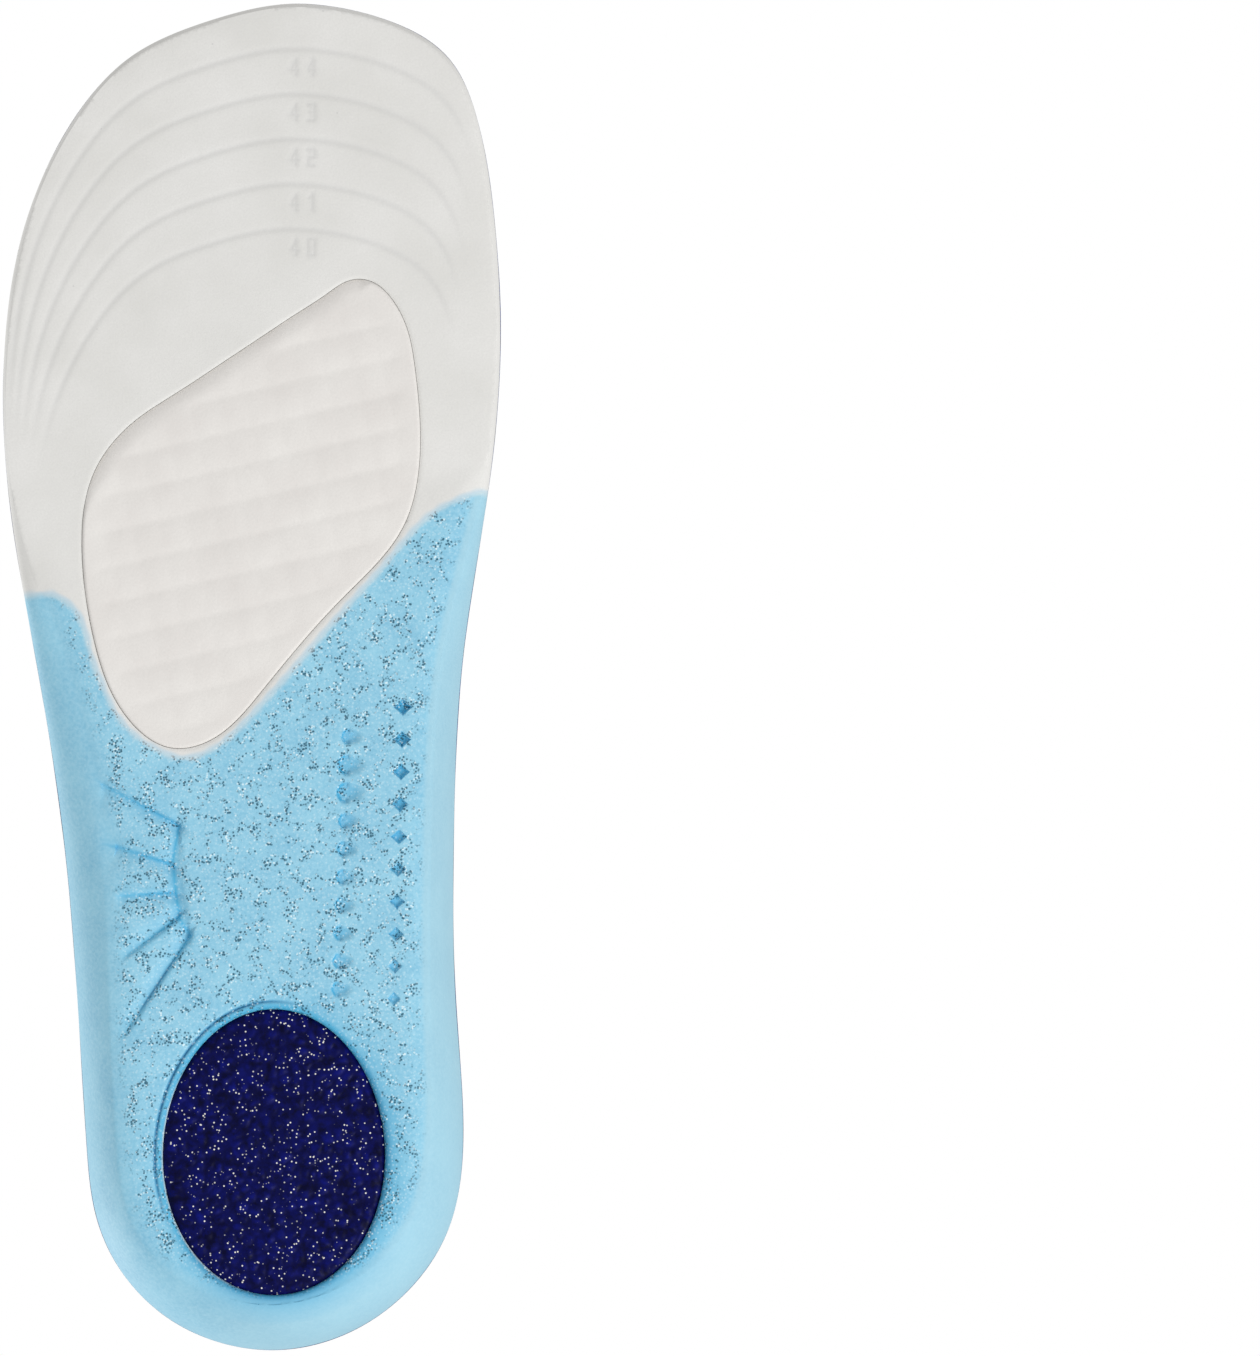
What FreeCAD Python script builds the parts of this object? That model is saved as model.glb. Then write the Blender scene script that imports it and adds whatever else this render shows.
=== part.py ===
"""Cushioned insole for a right foot.

Knit cover, two foams, a metatarsal pad, a heel gel pad and the bond films between them. Frame: toe towards -Y,
heel towards +Y, big toe and arch towards +X, foot side up (+Z). The origin is the middle of the insole's length
and width, on the plane that it stands on. Millimetres.
"""

import FreeCAD, Part
import math
import os
from bisect import bisect_right
from FreeCAD import Placement, Rotation, Vector

DIMENSIONS = {
    "insole_length": 255.0,
    "insole_width": 94.0,
    "cover_thickness": 1.0,
    "film_thickness": 0.15,
    "forefoot_lift": 0.4,
    "rim_edge_height": 3.0,
    "pad_thickness": 2.85,
    "pad_clearance": 0.25,
    "trim_line_count": 5.0,
    "trim_line_step": 8.5,
    "trim_line_width": 0.8,
    "trim_line_depth": 0.6,
    "gel_half_width": 21.0,
    "gel_half_length": 27.0,
    "gel_across": 4.2,
    "gel_along": 89.6,
    "gel_setback": 1.0,
    "gel_thickness": 3.6,
    "gel_hole_bevel": 1.2,
    "heel_crown_half_width": 14.3,
    "heel_crown_half_length": 22.4,
    "heel_crown_across": 2.3,
    "heel_crown_along": 76.0,
    "heel_crown_rise": 0.8,
    "diamond_side": 2.3,
    "diamond_depth": 1.4,
    "fan_depth": 1.2,
    "fan_width": 3.4,
    "tool_height": 40.0,
}

# The rim seen from above, station by station along the foot: (along, lateral edge, medial edge).
RIM_STATIONS = [
    (-124.0, -8.9, 26.6),
    (-117.0, -23.6, 37.4),
    (-105.0, -34.1, 42.8),
    (-88.0, -42.2, 45.7),
    (-62.0, -46.8, 46.95),
    (-35.0, -46.0, 44.6),
    (-5.0, -41.2, 39.9),
    (30.0, -35.8, 38.0),
    (62.0, -33.2, 38.4),
    (88.0, -31.6, 39.8),
    (105.0, -28.9, 36.9),
    (116.0, -22.4, 29.6),
    (123.5, -12.8, 19.6),
]
TOE_TIP = (9.0, -127.5)
HEEL_TIP = (3.0, 127.5)

# Heights and depths along the foot: (along, value).
RIM_HEIGHT_LATERAL = [(-45, 5.5), (-25, 5.5), (-8, 7.2), (12, 9.8), (35, 12.4), (60, 15), (90, 17), (115, 17.5)]
RIM_HEIGHT_MEDIAL = [(-42, 5.5), (-28, 8), (-12, 13), (8, 19), (30, 22), (58, 20.4), (88, 17.8), (115, 17.5)]
SEAT_HEIGHT = [(-35, 5.5), (0, 6.6), (35, 7.8), (70, 8)]
SOLE_INSET_LATERAL = [(-32, 1), (-15, 3.6), (5, 6.8), (32, 7.6), (60, 6.4), (90, 6), (112, 7), (127, 9)]
SOLE_INSET_MEDIAL = [(-42, 1), (-20, 2.6), (8, 4), (33, 4.2), (60, 4.6), (90, 6), (112, 7.6), (127, 9)]
WALL_WIDTH_LATERAL = [(-45, 12), (30, 13), (85, 13), (120, 15)]
WALL_WIDTH_MEDIAL = [(-45, 16), (-10, 28), (30, 30), (60, 24), (88, 15), (120, 15)]

# The metatarsal pad's outline, from its toe corner round the medial side.
PAD_OUTLINE = [
    (19.6, -75.4),
    (23.4, -74.6),
    (26.8, -71.2),
    (29.4, -66.0),
    (30.8, -59.0),
    (31.8, -42.0),
    (28.6, -28.4),
    (17.3, -15.2),
    (1.6, 2.9),
    (-7.8, 11.8),
    (-15.0, 13.3),
    (-23.6, 7.4),
    (-29.6, -6.4),
    (-32.0, -24.0),
    (-29.6, -39.2),
    (-22.0, -48.6),
    (-14.2, -53.8),
    (-6.0, -59.2),
    (1.4, -64.1),
    (8.8, -69.0),
    (14.6, -72.8),
]

# The edge between the white forefoot foam and the blue rearfoot foam, from the lateral rim to the medial one.
FOAM_SPLIT = [
    (-60.0, -16.4),
    (-42.0, -16.2),
    (-36.4, -15.4),
    (-33.0, -12.8),
    (-31.1, -7.6),
    (-28.2, 1.2),
    (-24.6, 7.9),
    (-20.0, 12.2),
    (-15.4, 14.5),
    (-11.0, 14.9),
    (-6.9, 13.0),
    (-2.6, 9.5),
    (2.7, 3.9),
    (10.5, -4.9),
    (18.5, -14.2),
    (24.9, -21.2),
    (30.2, -27.5),
    (35.0, -31.8),
    (44.0, -35.4),
    (60.0, -36.0),
]

# Diamond recesses in the arch: columns of equally spaced ones, from the first to the last (across, along).
DIAMOND_COLUMNS = [
    {"count": 10, "first": (28.6, 5.5), "last": (26.9, 60.6)},
    {"count": 10, "first": (18.6, 11.1), "last": (16.7, 58.8)},
]

# Fan relief in the lateral midfoot: each rib runs from the spine to its outer end.
FAN_RIBS = [
    ((-13.7, 27.9), (-29.6, 19.4)),
    ((-15.0, 35.2), (-28.6, 30.9)),
    ((-14.5, 40.6), (-25.8, 41.3)),
    ((-14.0, 45.3), (-24.8, 53.4)),
    ((-11.6, 48.6), (-24.8, 68.5)),
]

doc = FreeCAD.newDocument("cushioned_insole")
sheet = doc.addObject("Spreadsheet::Sheet", "dimensions")
for row, (alias, value) in enumerate(DIMENSIONS.items(), start=1):
    sheet.set(f"A{row}", alias)
    sheet.set(f"B{row}", str(value))
    sheet.setAlias(f"B{row}", alias)
doc.recompute()


def size(alias):
    """A driving dimension, read from the sheet."""
    return float(sheet.get(alias))


STRETCH = size("insole_length") / 255.0
SPREAD = size("insole_width") / 94.0


def bind(feature, **expressions):
    """Binds properties of a feature to cells of the sheet."""
    for name, expression in expressions.items():
        feature.setExpression(name, expression)
    return feature


def along_foot(table, station):
    """A value at a station, on a smooth curve through a table that never overshoots its rows."""
    places = [place for place, _ in table]
    values = [value for _, value in table]
    if station <= places[0]:
        return values[0]
    if station >= places[-1]:
        return values[-1]
    slopes = [(b - a) / (q - p) for p, q, a, b in zip(places, places[1:], values, values[1:])]
    tangents = [0.0]
    for before, after in zip(slopes, slopes[1:]):
        tangents.append(2 * before * after / (before + after) if before * after > 0 else 0.0)
    tangents.append(0.0)
    i = bisect_right(places, station) - 1
    run = places[i + 1] - places[i]
    t = (station - places[i]) / run
    return (
        values[i] * (1 + 2 * t) * (1 - t) ** 2
        + values[i + 1] * t * t * (3 - 2 * t)
        + run * (tangents[i] * t * (1 - t) ** 2 - tangents[i + 1] * t * t * (1 - t))
    )


def closed_curve(points):
    """A smooth closed curve through points, plan points being at height 0."""
    curve = Part.BSplineCurve()
    curve.interpolate(Points=[Vector(*point) for point in points], PeriodicFlag=True)
    return curve


def open_curve(points):
    """A smooth open curve through plan points."""
    curve = Part.BSplineCurve()
    curve.interpolate(Points=[Vector(*point) for point in points])
    return curve


def arcs(curve, count):
    """A wire of equal arcs of a curve, whose volumes integrate more exactly than one long edge does."""
    first, last = curve.FirstParameter, curve.LastParameter
    cuts = [first + (last - first) * i / count for i in range(count + 1)]
    return Part.Wire([curve.toShape(a, b) for a, b in zip(cuts, cuts[1:])])


def outward(curve, parameter):
    """The plan normal on the right of a curve, which is the outside of one that runs anticlockwise."""
    tangent = curve.tangent(parameter)[0]
    return Vector(tangent.y, -tangent.x, 0).normalize()


def moved_points(points, distances, closed):
    """Plan points moved along the normals of the curve through them."""
    curve = closed_curve(points) if closed else open_curve(points)
    moved = []
    for (x, y), distance in zip(points, distances):
        normal = outward(curve, curve.parameter(Vector(x, y, 0)))
        moved.append((x + normal.x * distance, y + normal.y * distance))
    return moved


def rim_points():
    """The rim's plan points, anticlockwise from the toe tip: medial side, heel tip, lateral side."""
    medial = [(right, along) for along, _, right in RIM_STATIONS]
    lateral = [(left, along) for along, left, _ in reversed(RIM_STATIONS)]
    points = [TOE_TIP, *medial, HEEL_TIP, *lateral]
    return [(x * SPREAD, y * STRETCH) for x, y in points]


RIM = rim_points()
RIM_CURVE = closed_curve(RIM)
RIM_ARCS = 14


def by_side(x, station, lateral, medial):
    """A table's value at the rim, taken from the side of the foot that the point is on."""
    table = medial if x > 3.0 * SPREAD else lateral
    return along_foot(table, station / STRETCH)


def foot_surface_height(x, y):
    """The height of the cover's foot side: seat, walls that rise to the rim, and a low crown at the heel."""
    parameter = RIM_CURVE.parameter(Vector(x, y, 0))
    nearest = RIM_CURVE.value(parameter)
    inward = (nearest - Vector(x, y, 0)).dot(outward(RIM_CURVE, parameter))
    seat = along_foot(SEAT_HEIGHT, y / STRETCH)
    rim = by_side(nearest.x, nearest.y, RIM_HEIGHT_LATERAL, RIM_HEIGHT_MEDIAL)
    width = by_side(nearest.x, nearest.y, WALL_WIDTH_LATERAL, WALL_WIDTH_MEDIAL)
    t = inward / width
    share = 0.0 if t >= 1 else (1 - t) ** 2 if t >= 0 else 1 - 2 * t
    across = (x - size("heel_crown_across")) / size("heel_crown_half_width")
    along = (y - size("heel_crown_along")) / size("heel_crown_half_length")
    reach = min(1.0, math.hypot(across, along))
    crown = size("heel_crown_rise") * (1 + math.cos(math.pi * reach)) / 2
    return seat + (rim - seat) * share + crown


def layer_surface(name, depth):
    """The surface that lies a given depth under the foot side, measured square to it."""
    step_across, step_along = 8.0, 10.0
    columns = range(-7, 8)
    rows = range(-14, 15)
    probe = 0.5
    grid = []
    for i in columns:
        line = []
        for j in rows:
            x, y = i * step_across, j * step_along
            height = foot_surface_height(x, y)
            lean_x = (foot_surface_height(x + probe, y) - height) / probe
            lean_y = (foot_surface_height(x, y + probe) - height) / probe
            line.append(Vector(x, y, height - depth * math.sqrt(1 + lean_x**2 + lean_y**2)))
        grid.append(line)
    surface = Part.BSplineSurface()
    surface.interpolate(grid)
    feature = doc.addObject("Part::Feature", name + "_surface")
    feature.Shape = surface.toShape()
    below = doc.addObject("Part::Extrusion", "below_" + name)
    below.Base = feature
    below.DirMode = "Custom"
    below.Dir = Vector(0, 0, -1)
    below.Solid = True
    return bind(below, LengthFwd="dimensions.tool_height")


def combine(kind, name, base, tool):
    """A boolean of two features."""
    feature = doc.addObject("Part::" + kind, name)
    feature.Base = base
    feature.Tool = tool
    return feature


def gather(name, features):
    """Several tools as one."""
    feature = doc.addObject("Part::Compound", name)
    feature.Links = features
    return feature


def plan_face(name, wire, height=0.0):
    """A flat face inside a plan wire."""
    feature = doc.addObject("Part::Feature", name)
    feature.Shape = Part.Face(wire)
    feature.Placement = Placement(Vector(0, 0, height), Rotation())
    return feature


def upright(name, face, length):
    """A face pushed straight up by a dimension of the sheet."""
    feature = doc.addObject("Part::Extrusion", name)
    feature.Base = face
    feature.DirMode = "Custom"
    feature.Dir = Vector(0, 0, 1)
    feature.Solid = True
    return bind(feature, LengthFwd=length)


def wall_section(share):
    """A wire round the side wall at a share of its height, from the sole's edge (0) to the rim's foot (1)."""
    distances = []
    heights = []
    for x, y in RIM:
        inset = by_side(x, y, SOLE_INSET_LATERAL, SOLE_INSET_MEDIAL)
        rim = by_side(x, y, RIM_HEIGHT_LATERAL, RIM_HEIGHT_MEDIAL)
        distances.append(-inset * (1 - share) ** 1.8)
        heights.append((rim - size("rim_edge_height")) * share)
    points = moved_points(RIM, distances, True)
    curve = closed_curve([(x, y, z) for (x, y), z in zip(points, heights)])
    return arcs(curve, RIM_ARCS)


def make_wall():
    """The outside of the foams: a side wall that widens from the sole to the rim, and flares on above it."""
    flare = 3.0
    roof = 30.0
    wires = [wall_section(share) for share in (0.0, 0.12, 0.35, 0.65, 1.0)]
    flared = moved_points(RIM, [flare] * len(RIM), True)
    wires.append(arcs(closed_curve([(x, y, roof) for x, y in flared]), RIM_ARCS))
    sections = []
    for number, wire in enumerate(wires):
        section = doc.addObject("Part::Feature", f"wall_section_{number}")
        section.Shape = wire
        sections.append(section)
    wall = doc.addObject("Part::Loft", "wall")
    wall.Sections = sections
    wall.Solid = True
    wall.Ruled = True
    return wall


def make_forefoot_zone():
    """The plan area of the white foam, as a tall block from the forefoot's sole up."""
    curve = arcs(open_curve(FOAM_SPLIT), 4)
    start, end = Vector(*FOAM_SPLIT[0], 0), Vector(*FOAM_SPLIT[-1], 0)
    corners = [end, Vector(60, -140, 0), Vector(-60, -140, 0), start]
    sides = [Part.makeLine(a, b) for a, b in zip(corners, corners[1:])]
    face = plan_face("forefoot_zone_face", Part.Wire([*curve.Edges, *sides]))
    return upright("forefoot_zone", face, "dimensions.tool_height")


def graded_rim(inner):
    """The toe part of the rim of a smaller size: shorter from the heel end and a little narrower."""
    loss = inner * size("trim_line_step")
    shorter = 1 - loss / size("insole_length")
    narrower = 1 - 0.024 * inner
    heel = HEEL_TIP[1] * STRETCH
    count = 5
    part = [*RIM[-count:], *RIM[: count + 1]]
    return [(x * narrower, heel + (y - heel) * shorter) for x, y in part]


def make_trim_grooves():
    """Tools for the cut-to-size grooves, each a narrow band along the rim of a smaller size."""
    half = size("trim_line_width") / 2
    grooves = []
    for inner in range(1, int(size("trim_line_count")) + 1):
        middle = graded_rim(inner)
        outer = moved_points(middle, [half] * len(middle), False)
        inside = moved_points(middle, [-half] * len(middle), False)
        curves = [*arcs(open_curve(outer), 5).Edges, *arcs(open_curve(inside), 5).Edges]
        ends = [Part.makeLine(Vector(*outer[i], 0), Vector(*inside[i], 0)) for i in (0, -1)]
        wire = Part.Wire(Part.__sortEdges__([*curves, *ends]))
        face = plan_face(f"trim_line_{inner}_face", wire)
        groove = upright(f"trim_line_{inner}", face, "dimensions.forefoot_lift + dimensions.trim_line_depth")
        grooves.append(groove)
    return gather("trim_lines", grooves)


def make_pad_block(name, clearance, bottom, length):
    """An upright block on the pad's outline, wider all round by a clearance."""
    points = moved_points(PAD_OUTLINE, [clearance] * len(PAD_OUTLINE), True)
    face = plan_face(name + "_face", arcs(closed_curve(points), 8), bottom)
    return upright(name, face, length)


def make_gel_edge(name, height, wider=0.0):
    """The gel's oval outline at a height given by an expression, wider all round by a distance."""
    edge = doc.addObject("Part::Ellipse", name)
    edge.Placement = Placement(Vector(), Rotation(Vector(0, 0, 1), 90))
    oval = {
        "MajorRadius": f"dimensions.gel_half_length + {wider}",
        "MinorRadius": f"dimensions.gel_half_width + {wider}",
        "Placement.Base.x": "dimensions.gel_across",
        "Placement.Base.y": "dimensions.gel_along",
        "Placement.Base.z": height,
    }
    return bind(edge, **oval)


def make_gel_block(name, bottom, length):
    """An upright block on the gel's oval outline."""
    return upright(name, make_gel_edge(name + "_edge", bottom), length)


def make_gel_hole():
    """Tools for the hole that the gel sits in, with a bevelled mouth."""
    roof = "dimensions.gel_setback + dimensions.gel_thickness + dimensions.film_thickness"
    mouth = make_gel_edge("gel_hole_mouth", "0", size("gel_hole_bevel"))
    throat = make_gel_edge("gel_hole_throat", "dimensions.gel_setback")
    bevel = doc.addObject("Part::Loft", "gel_hole_bevel")
    bevel.Sections = [mouth, throat]
    bevel.Solid = True
    bevel.Ruled = True
    return gather("gel_hole_tools", [make_gel_block("gel_hole", "0", roof), bevel])


def make_diamonds():
    """Tools for the diamond recesses, square posts turned by 45 degrees and laid out in columns."""
    posts = []
    for column, place in enumerate(DIAMOND_COLUMNS):
        for k in range(place["count"]):
            share = k / (place["count"] - 1)
            x = place["first"][0] + share * (place["last"][0] - place["first"][0])
            y = place["first"][1] + share * (place["last"][1] - place["first"][1])
            post = doc.addObject("Part::Box", f"diamond_{column}_{k}")
            bind(post, Length="dimensions.diamond_side", Width="dimensions.diamond_side")
            bind(post, Height="dimensions.diamond_depth")
            half_diagonal = size("diamond_side") / math.sqrt(2)
            post.Placement = Placement(Vector(x, y - half_diagonal, 0), Rotation(Vector(0, 0, 1), 45))
            posts.append(post)
    return gather("diamonds", posts)


def make_fan():
    """Tools for the fan relief: flutes that are deepest at the spine and run out at their outer ends."""
    flutes = []
    for number, (root, tip) in enumerate(FAN_RIBS):
        reach = Vector(tip[0] - root[0], tip[1] - root[1], 0)
        turn = math.degrees(math.atan2(reach.y, reach.x))
        flute = doc.addObject("Part::Wedge", f"fan_flute_{number}")
        half = "dimensions.fan_width / 2"
        bind(flute, Xmin="0", Ymin="0", Ymax="dimensions.fan_depth")
        bind(flute, Zmin="-" + half, Zmax=half)
        bind(flute, Z2min="-0.1 * dimensions.fan_width", Z2max="0.1 * dimensions.fan_width")
        flute.Xmax = reach.Length
        flute.X2min = 0
        flute.X2max = reach.Length * 0.3
        lay = Rotation(Vector(0, 0, 1), turn).multiply(Rotation(Vector(1, 0, 0), 90))
        flute.Placement = Placement(Vector(root[0], root[1], 0), lay)
        flutes.append(flute)
    return gather("fan", flutes)


def named(feature, label, pieces):
    """Marks a feature as a sub-part."""
    feature.Label = label
    pieces.append(feature)
    return feature


def build():
    """Every sub-part, in the order that the layers are laid up."""
    pieces = []
    wall = make_wall()
    rim_face = plan_face("rim_face", arcs(RIM_CURVE, RIM_ARCS))
    rim_block = upright("rim_block", rim_face, "dimensions.tool_height")
    below_foot = layer_surface("foot_side", 0.0)
    below_cover = layer_surface("cover", size("cover_thickness"))
    below_film = layer_surface("film", size("cover_thickness") + size("film_thickness"))

    whole = combine("Common", "whole_insole", rim_block, below_foot)
    named(combine("Cut", "top_cover_layer", whole, below_cover), "top_cover", pieces)
    under_cover = combine("Common", "under_cover", rim_block, below_cover)
    named(combine("Cut", "cover_film_layer", under_cover, below_film), "cover_bond_film", pieces)
    under_film = combine("Common", "under_film", rim_block, below_film)
    foams = combine("Common", "foams", under_film, wall)

    zone = make_forefoot_zone()
    forefoot = combine("Common", "forefoot_blank", foams, zone)
    sole_trim = doc.addObject("Part::Box", "forefoot_sole_trim")
    bind(sole_trim, Length="120", Width="200", Height="dimensions.forefoot_lift")
    sole_trim.Placement = Placement(Vector(-60, -150, 0), Rotation())
    lifted = combine("Cut", "forefoot_lifted", forefoot, sole_trim)
    grooved = combine("Cut", "forefoot_grooved", lifted, make_trim_grooves())
    pocket = make_pad_block(
        "pad_pocket", size("pad_clearance"), 0.0, "dimensions.pad_thickness + dimensions.film_thickness"
    )
    named(combine("Cut", "forefoot_foam_body", grooved, pocket), "forefoot_foam", pieces)

    rearfoot = combine("Cut", "rearfoot_blank", foams, zone)
    cutters = gather("rearfoot_cutters", [make_gel_hole(), make_diamonds(), make_fan()])
    named(combine("Cut", "rearfoot_shell_body", rearfoot, cutters), "rearfoot_shell", pieces)

    pad = make_pad_block("metatarsal_pad_body", 0.0, 0.0, "dimensions.pad_thickness")
    named(pad, "metatarsal_pad", pieces)
    pad_film = make_pad_block("pad_film_body", 0.0, size("pad_thickness"), "dimensions.film_thickness")
    named(pad_film, "metatarsal_pad_bond_film", pieces)

    gel = make_gel_block("gel_body", "dimensions.gel_setback", "dimensions.gel_thickness")
    named(gel, "heel_gel_pad", pieces)
    gel_top = "dimensions.gel_setback + dimensions.gel_thickness"
    named(make_gel_block("gel_film_body", gel_top, "dimensions.film_thickness"), "heel_gel_bond_film", pieces)
    return pieces


def check(pieces):
    """Stops when a feature failed or a sub-part isn't one valid solid."""
    for feature in doc.Objects:
        if "Invalid" in feature.State or "Error" in feature.State:
            raise RuntimeError(f"{feature.Name} failed: {feature.State}")
    for piece in pieces:
        shape = piece.Shape
        if shape.isNull() or not shape.isValid() or len(shape.Solids) != 1:
            raise RuntimeError(f"{piece.Label} isn't one valid solid")
        box = shape.optimalBoundingBox(False)
        sides = [f"{side:.1f}" for side in (box.XLength, box.YLength, box.ZLength)]
        print(piece.Label, f"{shape.Volume:.0f} mm3,", " x ".join(sides), "mm, base at", f"{box.ZMin:.2f}")


PIECES = build()
doc.recompute()
check(PIECES)
os.makedirs("parts", exist_ok=True)
for piece in PIECES:
    piece.Shape.exportStep(os.path.join("parts", piece.Label + ".step"))
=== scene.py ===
import math

import bpy
import numpy as np
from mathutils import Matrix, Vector
from mathutils.bvhtree import BVHTree
from mathutils.geometry import delaunay_2d_cdt


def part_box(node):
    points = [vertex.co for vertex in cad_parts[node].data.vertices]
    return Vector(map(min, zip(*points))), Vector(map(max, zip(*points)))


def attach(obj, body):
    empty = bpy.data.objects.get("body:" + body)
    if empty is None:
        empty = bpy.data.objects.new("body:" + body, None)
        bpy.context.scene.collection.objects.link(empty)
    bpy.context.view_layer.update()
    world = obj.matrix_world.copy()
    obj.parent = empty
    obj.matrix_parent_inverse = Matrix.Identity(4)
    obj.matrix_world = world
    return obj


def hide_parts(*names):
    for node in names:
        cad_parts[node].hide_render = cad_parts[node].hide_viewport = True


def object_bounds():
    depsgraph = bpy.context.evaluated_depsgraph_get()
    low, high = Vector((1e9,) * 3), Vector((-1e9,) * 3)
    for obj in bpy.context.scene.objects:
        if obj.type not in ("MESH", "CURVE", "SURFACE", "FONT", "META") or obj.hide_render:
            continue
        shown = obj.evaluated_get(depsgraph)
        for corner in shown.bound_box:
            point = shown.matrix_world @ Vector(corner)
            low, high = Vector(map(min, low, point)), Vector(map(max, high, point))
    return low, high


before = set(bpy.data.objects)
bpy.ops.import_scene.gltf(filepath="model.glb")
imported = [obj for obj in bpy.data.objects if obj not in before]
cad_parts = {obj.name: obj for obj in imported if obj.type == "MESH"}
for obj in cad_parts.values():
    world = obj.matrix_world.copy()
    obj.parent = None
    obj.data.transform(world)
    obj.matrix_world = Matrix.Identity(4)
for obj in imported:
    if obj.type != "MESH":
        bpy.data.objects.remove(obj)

# Shapes are worked out in millimetres, in the CAD frame: toe towards -Y, arch towards +X, foot side up.
MM = 0.001
CAD_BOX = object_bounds()
LENGTH = (CAD_BOX[1].y - CAD_BOX[0].y) / MM
HEEL_END = CAD_BOX[1].y / MM

COVER_THICKNESS = 1.0
FILM_THICKNESS = 0.15
FOREFOOT_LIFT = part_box("forefoot_foam")[0].z / MM
PAD_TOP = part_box("metatarsal_pad")[1].z / MM
GEL_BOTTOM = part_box("heel_gel_pad")[0].z / MM
GEL_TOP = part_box("heel_gel_pad")[1].z / MM

RIB_PITCH = 2.0
TRIM_LINES = 5
TRIM_STEP = 8.5
FAN_SPINE = [(-13.7, 27.9), (-14.9, 34.5), (-14.3, 41.1), (-13.5, 45.8), (-11.6, 48.6)]
FAN_RAYS = [
    ((-13.7, 27.9), (-29.6, 19.4)),
    ((-15.4, 35.2), (-28.6, 30.9)),
    ((-14.9, 40.6), (-25.8, 41.3)),
    ((-14.0, 45.3), (-24.8, 53.4)),
    ((-11.6, 48.6), (-24.8, 68.5)),
]
RECESSES_PER_COLUMN = 10
DIAMOND_COLUMN = ((28.6, 5.5), (26.9, 60.6))
DIMPLE_COLUMN = ((18.6, 11.1), (16.7, 58.8))


# ---------------------------------------------------------------- measuring the CAD nodes

RAY_START = 60.0
BATCH = 4000


def tree_of(*nodes):
    """A ray tree of CAD nodes, in millimetres."""
    points = []
    faces = []
    for node in nodes:
        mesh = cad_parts[node].data
        first = len(points)
        points += [vertex.co / MM for vertex in mesh.vertices]
        faces += [[first + i for i in polygon.vertices] for polygon in mesh.polygons]
    return BVHTree.FromPolygons(points, faces)


def seen_from_above(tree, x, y):
    """The height at which a ray straight down meets the tree, or None."""
    place = tree.ray_cast(Vector((x, y, RAY_START)), Vector((0, 0, -1.0)))[0]
    return None if place is None else place.z


def last_inside(test, inside, outside, steps=17):
    """The last share of the way from an inside point to an outside one that passes a test."""
    low, high = 0.0, 1.0
    for _ in range(steps):
        middle = (low + high) / 2
        if test(inside + (outside - inside) * middle):
            low = middle
        else:
            high = middle
    return inside + (outside - inside) * low


def relax(rows, rounds):
    """Evens out the inner rows in place, each with its two neighbours."""
    for _ in range(rounds):
        rows[1:-1] = (rows[:-2] + 2 * rows[1:-1] + rows[2:]) / 4


def smooth_closed(values, width):
    """A closed row of values smoothed with a Gaussian of a width in samples."""
    turns = np.fft.fftfreq(len(values))
    fade = np.exp(-2 * (math.pi * turns * width) ** 2)
    if values.ndim > 1:
        fade = fade[:, None]
    return np.real(np.fft.ifft(np.fft.fft(values, axis=0) * fade, axis=0))


def resample(points, count, closed):
    """Points equally spaced along a polyline."""
    row = np.vstack([points, points[:1]]) if closed else np.asarray(points, float)
    steps = np.linalg.norm(np.diff(row, axis=0), axis=1)
    travelled = np.concatenate([[0], np.cumsum(steps)])
    if closed:
        places = np.linspace(0, travelled[-1], count + 1)[:-1]
    else:
        places = np.linspace(0, travelled[-1], count)
    return np.stack([np.interp(places, travelled, row[:, k]) for k in range(row.shape[1])], axis=1)


def outline_of(tree, centre, reach, count, width):
    """A node's outline in plan, found by rays round a centre: anticlockwise, smoothed, equally spaced."""
    ring = []
    for angle in np.linspace(0, 2 * math.pi, 1440, endpoint=False):
        far = centre + reach * np.array([math.cos(angle), math.sin(angle)])
        ring.append(last_inside(lambda p: seen_from_above(tree, p[0], p[1]) is not None, centre, far))
    ring = resample(np.array(ring), count, True)
    return resample(smooth_closed(ring, width), count, True)


def normals_of(points, closed=True):
    """The plan normals on the right of a polyline."""
    if closed:
        along = np.roll(points, -1, axis=0) - np.roll(points, 1, axis=0)
    else:
        along = np.gradient(points, axis=0)
    along /= np.linalg.norm(along, axis=1, keepdims=True)
    return np.stack([along[:, 1], -along[:, 0]], axis=1)


def nearest(points, targets):
    """For each point, the index of the nearest target and its distance."""
    index = np.empty(len(points), int)
    squares = (targets ** 2).sum(1)
    for first in range(0, len(points), BATCH):
        batch = points[first:first + BATCH]
        index[first:first + BATCH] = (squares - 2 * batch @ targets.T).argmin(1)
    return index, np.linalg.norm(points - targets[index], axis=1)


def from_line(points, line, closed=False):
    """The distance from points to an evenly divided line, and the nearest place's share of its length."""
    line = np.asarray(line, float)
    row = np.vstack([line, line[:1]]) if closed else line
    spans = np.diff(row, axis=0)
    count = len(spans)
    index, _ = nearest(points, line)
    distance = np.full(len(points), np.inf)
    share = np.zeros(len(points))
    for step in (-1, 0):
        segment = (index + step) % count if closed else np.clip(index + step, 0, count - 1)
        span = spans[segment]
        t = np.clip(((points - row[segment]) * span).sum(1) / (span ** 2).sum(1), 0, 1)
        away = np.linalg.norm(points - row[segment] - t[:, None] * span, axis=1)
        nearer = away < distance
        distance = np.where(nearer, away, distance)
        share = np.where(nearer, (segment + t) / count, share)
    return distance, share


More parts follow.
